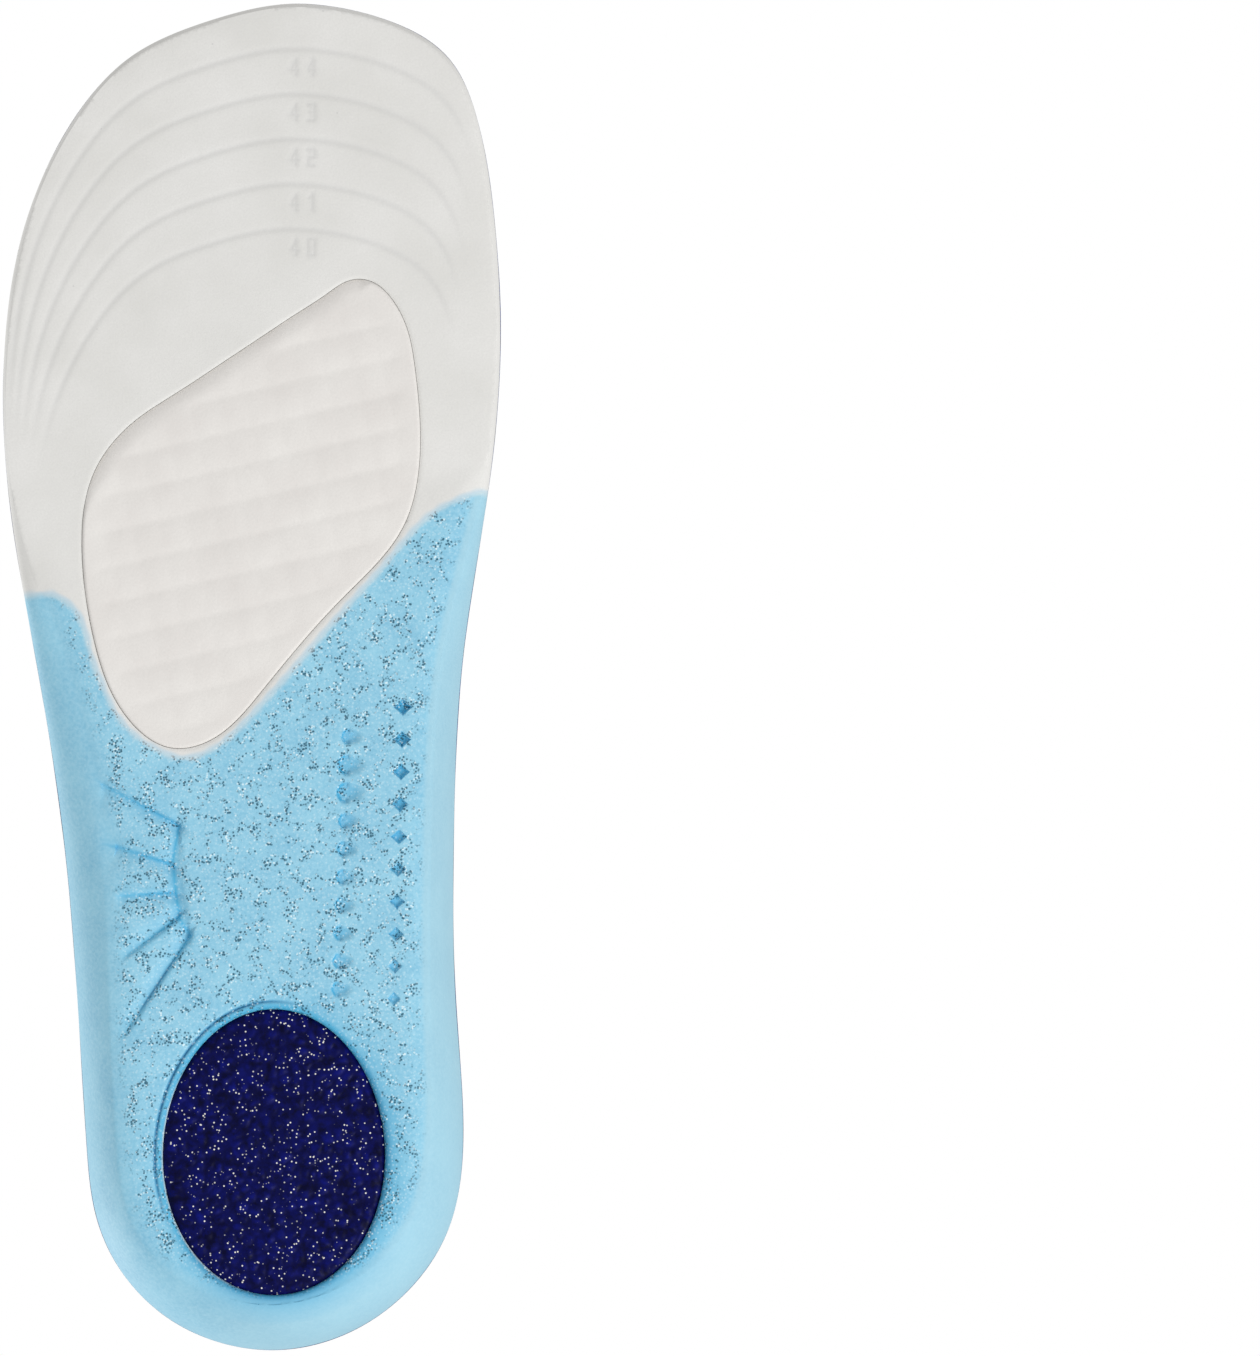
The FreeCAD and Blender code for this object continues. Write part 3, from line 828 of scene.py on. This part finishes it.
def foam_shell(arc, path, low_height, guides, step, pockets):
    """A foam between sole and film, on an arc of the rim and the split path back, with its pockets."""
    shell = Shell()
    sole = np.vstack([SOLE_EDGE[arc], path[1:-1]])
    holes = [pocket[0] for pocket in pockets]
    plan, triangles = fill(sole, holes, step, guides)
    heights = low_height(plan)
    index, distance = nearest(plan, SOLE_EDGE)
    heights = np.where(distance < 1e-3, WALL[0, index, 2], heights)
    shell.surface(plan, triangles, heights, upward=False)
    for lower, upper in zip(WALL[:-1, arc], WALL[1:, arc]):
        shell.strip(lower, upper)

    start_low, start_plan = column(arc[0])
    end_low, end_plan = column(arc[-1])
    top_loop = np.vstack([RIM[arc][:-1], end_plan[::-1], path[1:-1], start_plan[:-1]])
    top_plan, top_triangles = fill(top_loop, [], 1.6)
    shell.surface(top_plan, top_triangles, foam_top(top_plan), upward=True)

    heights = low_height(path)
    heights[0], heights[-1] = end_low[0, 2], start_low[0, 2]
    shell.strip(with_height(path, heights), with_height(path, foam_top(path)))
    for low, plan, flip in ((end_low, end_plan, True), (start_low, start_plan, False)):
        roof = with_height(plan, foam_top(plan))[:-1]
        ring = np.vstack([low, roof[::-1]])
        shell.patch(ring, [range(len(ring))], flip=flip)

    for hole, depth, edge_height in pockets:
        rim = with_height(hole, edge_height(hole))
        shell.strip(with_height(hole, np.full(len(hole), depth)), rim, closed=True)
        floor, floor_triangles = fill(hole, [], 2.0)
        shell.surface(floor, floor_triangles, np.full(len(floor), depth), upward=False)
    return shell


PAD_GAP = 0.07
POCKET_LOOP = PAD_LOOP + normals_of(PAD_LOOP) * PAD_GAP
TRIM_DEPTH = 0.16
TRIM_WIDTH = 0.6
MARK_DEPTH = 0.13
POCKET_ROUNDING = 0.22


def trim_line(number):
    """The rim of a smaller size, shorter and a little narrower, as far back as it is marked."""
    shorter = 1 - number * TRIM_STEP / LENGTH
    narrower = 1 - 0.024 * number
    line = np.stack([RIM[:, 0] * narrower, HEEL_END + (RIM[:, 1] - HEEL_END) * shorter], 1)
    half = RIM_COUNT // 2
    line = np.roll(line, half, axis=0)
    back = np.where(line[:, 0] > 0, -103 + 8 * number, -41 + 0.6 * number)
    kept = line[line[:, 1] < back]
    return resample(kept, len(kept), False)


TRIMS = [trim_line(number) for number in range(1, TRIM_LINES + 1)]


def rows_beside(line, offsets, closed=False):
    """Rows of points beside a line, for a mesh that follows it."""
    side = normals_of(line, closed)
    return np.vstack([line + side * offset for offset in offsets])


STROKES = {
    "0": [(0, 0), (1, 0), (1, 2), (0, 2), (0, 0)],
    "1": [(0.2, 0.5), (0.7, 0), (0.7, 2)],
    "2": [(0, 0), (1, 0), (1, 1), (0, 1), (0, 2), (1, 2)],
    "3": [(0, 0), (1, 0), (1, 1), (0.3, 1), (1, 1), (1, 2), (0, 2)],
    "4": [(0.75, 2), (0.75, 0), (0, 1.35), (1.1, 1.35)],
}
LARGEST_SIZE = 44
DIGIT_HEIGHT = 3.0
DIGIT_PITCH = 3.2
FIRST_DIGIT_X = 7.4


def size_mark_lines():
    """The strokes of the plain two-figure size numbers, one number inside each trim line."""
    unit = DIGIT_HEIGHT / 2
    lines = []
    for number, line in enumerate(TRIMS):
        front = line[nearest(np.array([[10.0, -140.0]]), line)[0][0]]
        for place, digit in enumerate(str(LARGEST_SIZE - number)):
            corner = np.array([FIRST_DIGIT_X + place * DIGIT_PITCH, front[1] + 2.0])
            lines.append(resample(corner + np.array(STROKES[digit]) * unit * (0.8, 1), 30, False))
    return lines


def size_marks(points):
    """1 on a figure's strokes and 0 away from them."""
    mark = np.zeros(len(points))
    near = (np.abs(points[:, 0] - 10.5) < 5) & (points[:, 1] < -70)
    for line in size_mark_lines():
        distance, _ = from_line(points[near], line)
        mark[near] = np.maximum(mark[near], np.exp(-(distance / 0.3) ** 4))
    return mark


def trim_grooves(points):
    """1 along the middle of every trim line, fading at its ends, and 0 away from them."""
    groove = np.zeros(len(points))
    for line in TRIMS:
        distance, share = from_line(points, line)
        ends = smoothstep(share / 0.2) * smoothstep((1 - share) / 0.12)
        groove = np.maximum(groove, np.exp(-(distance / TRIM_WIDTH) ** 2) * ends)
    return groove


def groove_mask(points):
    """Where the white foam's marks gather a little shade, from 0 to 1."""
    plan = points[:, :2]
    mask = np.maximum(0.45 * trim_grooves(plan), 0.6 * size_marks(plan))
    return mask * (points[:, 2] < 2.0)


def white_low(points):
    """The white foam's underside: a soft slope to the split, trim grooves and a rounded pocket edge."""
    level = sole_level(points)
    height = level + edge_rounding(points, level)
    clear, _ = from_line(points, SOLE_EDGE[::2], closed=True)
    height += TRIM_DEPTH * trim_grooves(points) * smoothstep(clear / 1.2)
    height += MARK_DEPTH * size_marks(points)
    distance, _ = from_line(points, POCKET_LOOP, closed=True)
    return height + POCKET_ROUNDING * np.exp(-(distance / 0.3) ** 2)


def split_tint(points, front):
    """How far the other foam's colour has run over the split, from 0 to 0.5 at the line itself."""
    distance, _ = from_line(points[:, :2], BORDER)
    wander = 0.35 * np.sin(points[:, 0] * 1.3) * np.sin(points[:, 1] * 1.1 + 1)
    reach = (0.9 if front else 1.1) + wander
    return 0.5 * (1 - smoothstep(distance / reach))


def make_forefoot_foam():
    """The white foam, with rows of mesh points along its marks, its pocket and the split."""
    guides = np.vstack([rows_beside(line, (0, -0.32, 0.32, -0.64, 0.64, -1.0, 1.0)) for line in TRIMS])
    guides = np.vstack([guides, *[rows_beside(line, (0, -0.25, 0.25)) for line in size_mark_lines()]])
    guides = np.vstack([guides, rows_beside(POCKET_LOOP, (0.16, 0.34, 0.6, 0.95), True)])
    guides = np.vstack([guides, rows_beside(SPLIT, (0.4, 0.8, 1.2, 1.7))])
    pocket = (POCKET_LOOP, PAD_TOP + FILM_THICKNESS, white_low)
    shell = foam_shell(FRONT_ARC, SPLIT_PATH[::-1], white_low, guides, 0.62, [pocket])
    attributes = {"tint": lambda p: split_tint(p, True), "groove": groove_mask}
    return shell.build("forefoot_foam_body", MATERIALS["white_foam"], attributes)


def column_places(ends):
    """The centres of a column of recesses, each with its share of the way from toe to heel."""
    first, last = ends
    for share in np.linspace(0, 1, RECESSES_PER_COLUMN):
        yield first[0] + (last[0] - first[0]) * share, first[1] + (last[1] - first[1]) * share, share


def diamond_places():
    """Every diamond recess: (across, along, half width, half height, depth)."""
    return [
        (x, y, DIAMOND_HALF_WIDTH - DIAMOND_SHRINK * share, 1.75 - 0.3 * share, 1.1 - 0.45 * share)
        for x, y, share in column_places(DIAMOND_COLUMN)
    ]


def dimple_places():
    """Every round dimple of the inner column: (across, along, half width, half height, depth)."""
    places = []
    for number, (x, y, share) in enumerate(column_places(DIMPLE_COLUMN)):
        wide = 2.5 if number in (1, 2) else 1.9
        places.append((x, y, wide, wide * 0.85, 1.0 - 0.25 * share))
    return places


DIAMOND_HALF_WIDTH = 1.95
DIAMOND_SHRINK = 0.45
DIAMOND_POWER = 0.9
DIAMONDS = diamond_places()
DIMPLES = dimple_places()
GEL_BEVEL = 1.3
SPINE_DEPTH = 0.7
RAY_DEPTH = 0.95
RING_DISTANCE = 1.5
RING_DEPTH = 0.45
SOLE_MARKS_BELOW = 4.0
TOWARDS_MEDIAL_HEEL = (0.75, 0.66)
TOWARDS_LATERAL_TOE = (-0.83, -0.56)
TOWARDS_LATERAL = (-0.95, 0.3)
FAN_LINES = [resample(FAN_SPINE, 60, False), *[resample(ray, 50, False) for ray in FAN_RAYS]]


def diamond_reach(points, place):
    """How far points are from a diamond's centre: 1 on its outline, whose sides curve slightly inwards."""
    x, y, across, along, _ = place
    sideways = np.abs((points[:, 0] - x) / across) ** DIAMOND_POWER
    lengthwise = np.abs((points[:, 1] - y) / along) ** DIAMOND_POWER
    return (sideways + lengthwise) ** (1 / DIAMOND_POWER)


def dimple_fall(points, place):
    """A dimple's relief from 0 to 1: steep on the lateral side, running out towards the arch."""
    x, y, across, along, _ = place
    left = (points[:, 0] - x) / across
    left = np.where(left > 0, left * 0.75, left * 1.15)
    return smoothstep((1.08 - np.hypot(left, (points[:, 1] - y) / along)) / np.where(left > 0, 0.9, 0.4))


def gel_lip(points):
    """The distance outside the gel's oval."""
    oval = gel_oval(points)
    reach = np.hypot(oval[:, 0], oval[:, 1])
    return (reach - 1) * np.linalg.norm(points - GEL_CENTRE, axis=1) / np.maximum(reach, 1e-6)


def heel_ring(points):
    """The shallow crease outside the gel, 1 at its middle, deepest towards the toe on the lateral side."""
    turn = facing(points, GEL_CENTRE, TOWARDS_LATERAL_TOE)
    return np.exp(-((gel_lip(points) - RING_DISTANCE) / 0.33) ** 2) * smoothstep((turn - 0.1) / 0.7)


def blue_low(points):
    """The blue foam's underside: diamonds, dimples, the fan relief, and the gel's hole with its ring."""
    level = sole_level(points)
    height = level + edge_rounding(points, level)
    for place in DIAMONDS:
        height += place[4] * smoothstep((1.0 - diamond_reach(points, place)) / 0.42)
    for place in DIMPLES:
        height += place[4] * dimple_fall(points, place)
    for number, line in enumerate(FAN_LINES):
        distance, share = from_line(points, line)
        way = (line[-1] - line[0]) / np.linalg.norm(line[-1] - line[0])
        side = (points - line[0]) @ np.array([-way[1], way[0]])
        if number == 0:
            height += SPINE_DEPTH * np.exp(-(distance / np.where(side > 0, 1.6, 0.45)) ** 2)
        else:
            fade = smoothstep((1 - share) * 5 + 0.2) * (RAY_DEPTH - 0.4 * share)
            width = np.where(side * (1 if number < 4 else -1) > 0, 0.4, 1.8)
            height += fade * np.exp(-(distance / width) ** 2)
    away = gel_lip(points)
    lip = np.clip(1 - away / GEL_BEVEL, 0, 1)
    rounded = GEL_BEVEL * (1 - np.sqrt(np.clip(1 - lip ** 2, 0, 1))) * 0.8
    height += rounded + 0.35 * np.exp(-(away / 3.5) ** 2)
    return height + RING_DEPTH * heel_ring(points)


def recess_mask(points):
    """How deep in shade a place is, 0 to 1: diamonds, dimples, fan lines and the moat round the gel."""
    plan = points[:, :2]
    mask = np.zeros(len(plan))
    for place in DIAMONDS:
        strength = 0.9 - 0.35 * (DIAMOND_HALF_WIDTH - place[2]) / DIAMOND_SHRINK
        mask = np.maximum(mask, strength * smoothstep((1.02 - diamond_reach(plan, place)) / 0.2))
    for place in DIMPLES:
        fall = dimple_fall(plan, place)
        lateral = smoothstep((place[0] - 0.2 - plan[:, 0]) / 0.9)
        mask = np.maximum(mask, np.minimum(fall * 0.42 + 3.8 * lateral * fall * (1 - fall), 1.0))
    for number, line in enumerate(FAN_LINES):
        distance, share = from_line(plan, line)
        fade = 1 if number == 0 else smoothstep((1 - share) * 4 + 0.25) * (1 - 0.35 * share)
        line_shade = 0.62 * np.exp(-(distance / 0.36) ** 2) + 0.3 * np.exp(-(distance / 1.5) ** 2)
        mask = np.maximum(mask, fade * line_shade)
    away = gel_lip(plan)
    outside = np.clip(away, 0, None)
    moat = (0.52 + 0.34 * facing(plan, GEL_CENTRE, TOWARDS_MEDIAL_HEEL)) * np.exp(-(outside / 3.6) ** 1.5)
    moat = np.maximum(moat, 0.92 * np.exp(-(outside / 1.5) ** 3))
    mask = np.maximum(mask, np.where(away > -0.1, moat, 0))
    return np.maximum(mask, heel_ring(plan)) * (points[:, 2] < SOLE_MARKS_BELOW)


def crease_shade_mask(points):
    """The darkest painted shade, 0 to 1: in the ring crease, along the last fan ray and at the foot of the
    gel's lip.
    """
    plan = points[:, :2]
    distance, share = from_line(plan, FAN_LINES[-1])
    far_end = smoothstep((share - 0.1) * 4) * smoothstep((0.8 - share) * 6)
    ray = 0.6 * np.exp(-(distance / 0.22) ** 2) * far_end
    away = gel_lip(plan)
    heel_side = smoothstep((facing(plan, GEL_CENTRE, TOWARDS_MEDIAL_HEEL) + 0.3) / 0.6)
    foot = 0.42 * np.exp(-(np.clip(away, 0, None) / 1.3) ** 2) * heel_side * (away > -0.1)
    darkest = np.maximum(np.maximum(0.85 * heel_ring(plan) ** 2, foot), ray)
    return darkest * (points[:, 2] < SOLE_MARKS_BELOW)


def lip_mask(points):
    """The lit edge of the gel's hole on the lateral side, 0 to 1."""
    plan = points[:, :2]
    lateral_side = smoothstep((facing(plan, GEL_CENTRE, TOWARDS_LATERAL) - 0.35) / 0.5)
    edge = 0.8 * np.exp(-((gel_lip(plan) - 0.06) / 0.16) ** 2)
    return edge * lateral_side * (points[:, 2] < SOLE_MARKS_BELOW)


def wall_mask(points):
    """1 on the side wall and 0 on the sole, fading over the sole's first few millimetres."""
    distance, _ = from_line(points[:, :2], SOLE_EDGE[::2], closed=True)
    return np.where(inside(points[:, :2], SOLE_EDGE), 1 - smoothstep((distance - 0.4) / 3.0), 1.0)


def paler_and_lit_wall(points):
    """Where the side wall is paler, 0 to 1: most on the arch side, least on the lateral one; the paling on
    the arch side is painted light falling on that wall.
    """
    return smoothstep((wall_mask(points) - 0.5) * 2) * (0.15 + 0.85 * smoothstep((points[:, 0] + 22) / 26))


def make_rearfoot_shell():
    """The blue foam, with mesh points along its recesses, its fan, the gel's hole and the split."""
    guides = []
    for x, y, across, along, _ in DIAMONDS:
        corners = np.array([(x + across, y), (x, y + along), (x - across, y), (x, y - along)])
        centre = np.array([x, y])
        ring = resample(corners, 32, True)
        guides += [centre + (ring - centre) * size for size in (1.06, 0.93, 0.8, 0.68, 0.5)]
    for x, y, across, along, _ in DIMPLES:
        low, high = (x - across - 0.6, y - along - 0.6), (x + across + 0.9, y + along + 0.6)
        guides.append(lattice(low, high, 0.36))
    for line in FAN_LINES:
        guides.append(rows_beside(line, (0, -0.3, 0.3, -0.6, 0.6, -1.0, 1.0, -1.5, 1.5)))
    guides += [gel_loop(wider, 330) for wider in (0.12, 0.3, 0.55, 0.85, 1.1, 1.3, 1.5, 1.7, 1.95, 2.3)]
    guides.append(rows_beside(SPLIT, (-0.4, -0.8, -1.2, -1.7)))
    pocket = (gel_loop(0.0), GEL_TOP + FILM_THICKNESS, blue_low)
    shell = foam_shell(BACK_ARC, SPLIT_PATH, blue_low, np.vstack(guides), 0.6, [pocket])
    attributes = {
        "tint": lambda p: split_tint(p, False),
        "wall": wall_mask,
        "paler_and_lit_wall": paler_and_lit_wall,
        "recess": recess_mask,
        "crease": crease_shade_mask,
        "lip": lip_mask,
    }
    return shell.build("rearfoot_shell_body", MATERIALS["blue_foam"], attributes)


# ---------------------------------------------------------------- the inserts

WAFFLE_TURN = math.radians(-13)
WAFFLE_CELL = (5.3, 6.6)
WAFFLE_DEPTH = 0.26


def pad_low(points):
    """The pad's face: shallow pillows in slanting rows, and an edge that is broad towards the toe."""
    cosine, sine = math.cos(WAFFLE_TURN), math.sin(WAFFLE_TURN)
    turned = points @ np.array([[cosine, -sine], [sine, cosine]])
    columns = np.abs(np.sin(math.pi * turned[:, 0] / WAFFLE_CELL[0])) ** 0.7
    rows = np.abs(np.sin(math.pi * turned[:, 1] / WAFFLE_CELL[1])) ** 0.7
    pillow = rows * (0.66 + 0.34 * columns)
    distance, _ = from_line(points, PAD_LOOP, closed=True)
    index, _ = nearest(points, PAD_LOOP)
    out = normals_of(PAD_LOOP)[index]
    toeward = smoothstep((out @ np.array([-0.5, -0.86]) - 0.55) / 0.35)
    width = 0.5 + 3.2 * toeward
    edge = (1 - np.clip(distance / width, 0, 1)) ** 2 * (0.4 + 0.75 * toeward)
    faded = smoothstep((distance - 1.0) / 4.0)
    return edge + WAFFLE_DEPTH * (1 - pillow) * faded


def block(low, loop, step, top, guides=None, low_height=None):
    """A closed shell on a loop, from a lower surface to a flat top."""
    shell = Shell()
    plan, triangles = fill(loop, [], step, guides)
    heights = np.full(len(plan), low) if low_height is None else low_height(plan)
    shell.surface(plan, triangles, heights, upward=False)
    edge = np.full(len(loop), low) if low_height is None else low_height(loop)
    shell.strip(with_height(loop, edge), with_height(loop, np.full(len(loop), top)), closed=True)
    roof, roof_triangles = fill(loop, [], 2.5)
    shell.surface(roof, roof_triangles, np.full(len(roof), top), upward=True)
    return shell


def make_metatarsal_pad():
    """The insert under the ball of the foot."""
    guides = rows_beside(PAD_LOOP, (-0.15, -0.35, -0.6, -0.95), True)
    shell = block(0, PAD_LOOP, 0.62, PAD_TOP, guides, pad_low)
    return shell.build("metatarsal_pad_body", MATERIALS["pad_foam"])


BUBBLE_PITCH = 2.3
BUBBLE_HEIGHT = 0.36
GEL_DOME = 0.35


def gel_seeds():
    """The centres of the bubbles in the gel's skin, unevenly spread."""
    shake = np.random.default_rng(11)
    seeds = lattice(GEL_CENTRE - GEL_HALF - 4, GEL_CENTRE + GEL_HALF + 4, BUBBLE_PITCH)
    return seeds + shake.uniform(-BUBBLE_PITCH / 2, BUBBLE_PITCH / 2, seeds.shape)


GEL_SEEDS = gel_seeds()


def bubbles(points):
    """The height of the cobbled skin from 0 in the creases to 1 on the tops."""
    gaps = np.empty((len(points), 2))
    for start in range(0, len(points), BATCH):
        batch = points[start:start + BATCH]
        squared = ((batch[:, None, :] - GEL_SEEDS[None]) ** 2).sum(2)
        gaps[start:start + BATCH] = np.sqrt(np.partition(squared, 1, axis=1)[:, :2])
    first, second = gaps.min(1), gaps.max(1)
    sizes = 0.55 + 0.45 * np.sin(points[:, 0] * 1.1 + 2 * np.sin(points[:, 1] * 0.7))
    creases = smoothstep((second - first) / 1.7) ** 0.8
    domes = np.sqrt(np.clip(1 - (first / 2.4) ** 2, 0, 1))
    return creases * domes * (0.5 + 0.5 * sizes)


def gel_low(points):
    """The gel's face: a low dome with a skin of soft bubbles and a rounded edge."""
    oval = gel_oval(points)
    reach = np.hypot(oval[:, 0], oval[:, 1])
    edge = 0.6 * np.clip((reach - 0.95) / 0.05, 0, 1) ** 2
    skin = BUBBLE_HEIGHT * bubbles(points) * smoothstep((1 - reach) * 12)
    return GEL_BOTTOM - GEL_DOME * (1 - reach ** 2) - skin + edge


GEL_GAP = 0.04


def make_heel_gel():
    """The gel plug, a hair smaller than its hole."""
    shell = block(0, gel_loop(-GEL_GAP), 0.36, GEL_TOP, None, gel_low)
    attributes = {"bubble": lambda p: bubbles(p[:, :2])}
    return shell.build("heel_gel_body", MATERIALS["heel_gel"], attributes)


# ---------------------------------------------------------------- the cover and the films

RIM_PLACE = np.linspace(0, 2 * math.pi, RIM_COUNT, endpoint=False)
PROUD = 0.06 + 0.03 * np.sin(9 * RIM_PLACE) + 0.02 * np.sin(23 * RIM_PLACE + 1)
COVER_RIM = RIM + RIM_OUT * PROUD[:, None]
RIB_DEPTH = 0.16
CUT_DROP = 0.4


def cover_grid():
    """Points in lengthwise lines, four to a rib, so that each rib's groove is a line of the mesh."""
    step_across, step_along = RIB_PITCH / 4, 0.62
    xs = np.arange(-100, 101) * step_across
    ys = np.arange(math.floor(RIM[:, 1].min()), math.ceil(RIM[:, 1].max()), step_along)
    return np.stack(np.meshgrid(xs, ys), -1).reshape(-1, 2)


def cover_top(points):
    """The knit's face: lengthwise ribs, and an edge rounded by the cut."""
    phase = np.abs((points[:, 0] / RIB_PITCH + 0.5) % 1.0 - 0.5) * 2
    rib = -RIB_DEPTH * np.clip(1 - phase * 2, 0, 1)
    distance, _ = from_line(points, COVER_RIM[::2], closed=True)
    edge = -CUT_DROP * (1 - np.clip(distance / 0.8, 0, 1)) ** 2
    return foot_height(points) + rib * smoothstep(distance / 1.5) + edge


def cup_shade(points):
    """Where the knit is darker and shows fewer pale flecks, 0 to 1: over the arch and heel walls and in a
    crescent at the heel crown's toe end; the darkening is painted shade.
    """
    plan = points[:, :2]
    x, y = plan[:, 0], plan[:, 1]
    (cx, cy), (a, b) = HEEL_CROWN
    reach = np.hypot((x - cx) / a, (y - cy) / b)
    medial_back = facing(plan, np.array([cx, cy]), TOWARDS_MEDIAL_HEEL)
    rim_distance, _ = from_line(plan, RIM[::2], closed=True)
    cup = smoothstep((reach - 0.97) / 0.16) * smoothstep((medial_back + 0.05) / 0.5)
    cup *= smoothstep((y - 46) / 22) * (0.25 + 0.75 * smoothstep((rim_distance - 1.5) / 4.5))
    toeward = facing(plan, np.array([cx, cy]), (0.0, -1.0))
    crescent = smoothstep((toeward - 0.45) / 0.4) * np.exp(-((reach - 1.06) / 0.08) ** 2)
    behind_crease = smoothstep((crease_side(plan) + 0.4) / 2.2)
    arch = behind_crease * smoothstep((x - 3) / 14) * smoothstep((46 - y) / 44)
    return np.clip(np.maximum(np.maximum(cup, 0.8 * crescent), 0.55 * arch), 0, 1)


def fleck_share(points):
    """How thick the pale flecks are: sparse at the toe, thick from the ball back, few on the walls painted
    in shade.
    """
    share = 0.3 + 0.46 * smoothstep((points[:, 1] + 112) / 70)
    share -= 0.1 * smoothstep((-points[:, 0] - 16) / 18) * smoothstep((points[:, 1] + 80) / 60)
    return np.clip(share - 0.7 * cup_shade(points), 0, 1)


def rim_slab(name, loop, top, bottom, material, top_mesh, bottom_mesh, attributes=None):
    """A thin layer over the whole plan."""
    shell = Shell()
    shell.surface(*top_mesh, top(top_mesh[0]), upward=True)
    shell.surface(*bottom_mesh, bottom(bottom_mesh[0]), upward=False)
    shell.strip(with_height(loop, bottom(loop)), with_height(loop, top(loop)), closed=True)
    return shell.build(name, material, attributes)


def cover_bottom(points):
    """The height of the cover's underside."""
    return layer(points, COVER_THICKNESS)


def make_cover_layers():
    """The knit cover with its ribbed face, and the film under it."""
    fine = fill(COVER_RIM, [], 0.55, rows_beside(COVER_RIM, (-0.2, -0.45, -0.8), True), cover_grid())
    under = fill(COVER_RIM, [], 1.6)
    plain = fill(RIM, [], 1.6)
    looks = {"flecks": fleck_share, "shade": cup_shade}
    yarn, glue = MATERIALS["knit"], MATERIALS["bond_film"]
    cover = rim_slab("top_cover_knit", COVER_RIM, cover_top, cover_bottom, yarn, fine, under, looks)
    film = rim_slab("cover_bond_film_sheet", RIM, cover_bottom, foam_top, glue, plain, plain)
    return cover, film


def make_flat_film(name, loop, low):
    """A flat film on a loop, from a height up."""
    return block(low, loop, 2.5, low + FILM_THICKNESS).build(name, MATERIALS["bond_film"])


FOREFOOT = make_forefoot_foam()
REARFOOT = make_rearfoot_shell()
PAD = make_metatarsal_pad()
GEL = make_heel_gel()
COVER, COVER_FILM = make_cover_layers()
PAD_FILM = make_flat_film("pad_bond_film_sheet", PAD_LOOP, PAD_TOP)
GEL_FILM = make_flat_film("gel_bond_film_sheet", gel_loop(-GEL_GAP), GEL_TOP)

for piece, node, slot in (
    (FOREFOOT, "forefoot_foam", "white_foam"),
    (REARFOOT, "rearfoot_shell", "blue_foam"),
    (PAD, "metatarsal_pad", "pad_foam"),
    (GEL, "heel_gel_pad", "heel_gel"),
    (COVER, "top_cover", "cover_knit"),
    (COVER_FILM, "cover_bond_film", "bond_film"),
    (PAD_FILM, "metatarsal_pad_bond_film", "bond_film"),
    (GEL_FILM, "heel_gel_bond_film", "bond_film"),
):
    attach(piece, "root")
    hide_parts(node)


# ---------------------------------------------------------------- floor, lights and camera

FLOOR_GAP = 0.0004
IMAGE_HEIGHT = 1356
INSOLE_ROWS = 1350
SIDE_SHIFT = 0.2791


def make_floor():
    """A pale floor that shows only from above, so that the sole can be seen and lit from below."""
    half = 30.0
    corners = [(-half, -half, 0), (half, -half, 0), (half, half, 0), (-half, half, 0)]
    mesh = bpy.data.meshes.new("floor")
    mesh.from_pydata(corners, [], [(0, 1, 2, 3)])
    floor = bpy.data.objects.new("floor", mesh)
    bpy.context.scene.collection.objects.link(floor)
    floor.location.z = -FLOOR_GAP
    n = Nodes("floor_paint")
    n.set(Base_Color=(0.9, 0.9, 0.9, 1), Roughness=0.9)
    clear = n.add("BsdfTransparent").outputs[0]
    behind = n.add("NewGeometry").outputs["Backfacing"]
    either = n.add("MixShader", {0: behind, 1: n.shader.outputs[0], 2: clear})
    n.tree.links.new(either.outputs[0], n.tree.nodes["Material Output"].inputs["Surface"])
    mesh.materials.append(n.material)
    floor.visible_shadow = False
    floor.visible_diffuse = False
    floor.visible_glossy = False


def add_area_light(name, place, target, size, power):
    """A soft round light at a place, turned to a target."""
    light = bpy.data.lights.new(name, "AREA")
    light.shape = "DISK"
    light.size = size
    light.energy = power
    lamp = bpy.data.objects.new(name, light)
    lamp.location = place
    way = Vector(target) - Vector(place)
    lamp.rotation_mode = "QUATERNION"
    lamp.rotation_quaternion = way.to_track_quat("-Z", "Y")
    bpy.context.scene.collection.objects.link(lamp)


def make_world():
    """Plain white all round: full white to the camera, softer as a light."""
    world = bpy.data.worlds.new("studio")
    bpy.context.scene.world = world
    world.use_nodes = True
    nodes, links = world.node_tree.nodes, world.node_tree.links
    background = nodes["Background"]
    background.inputs["Color"].default_value = (1, 1, 1, 1)
    path = nodes.new("ShaderNodeLightPath")
    strength = nodes.new("ShaderNodeMapRange")
    strength.inputs["To Min"].default_value = 0.68
    strength.inputs["To Max"].default_value = 1.0
    links.new(path.outputs["Is Camera Ray"], strength.inputs["Value"])
    links.new(strength.outputs[0], background.inputs["Strength"])


def make_camera():
    """Square to the sole from below, toe up. The insole fills nearly all rows, left in the frame."""
    camera = bpy.data.cameras.new("camera")
    camera.lens = 500
    camera.sensor_width = 36
    camera.clip_end = 100
    frame_height = LENGTH * IMAGE_HEIGHT / INSOLE_ROWS * MM
    eye = bpy.data.objects.new("camera", camera)
    distance = camera.lens / camera.sensor_width * frame_height
    eye.location = (frame_height * SIDE_SHIFT, 0.0, -distance)
    eye.rotation_euler = (math.pi, 0, 0)
    bpy.context.scene.collection.objects.link(eye)
    bpy.context.scene.camera = eye


make_floor()
add_area_light("sole_key", (0.95, 0.75, -1.15), (0, 0, 0), 0.7, 14)
add_area_light("foot_key", (-1.25, 0.7, 0.95), (0, 0, 0), 0.7, 14)
add_area_light("foot_fill", (0.9, -1.1, 1.1), (0, 0, 0), 1.0, 3)
make_world()
make_camera()
bpy.context.scene.view_settings.view_transform = "Standard"
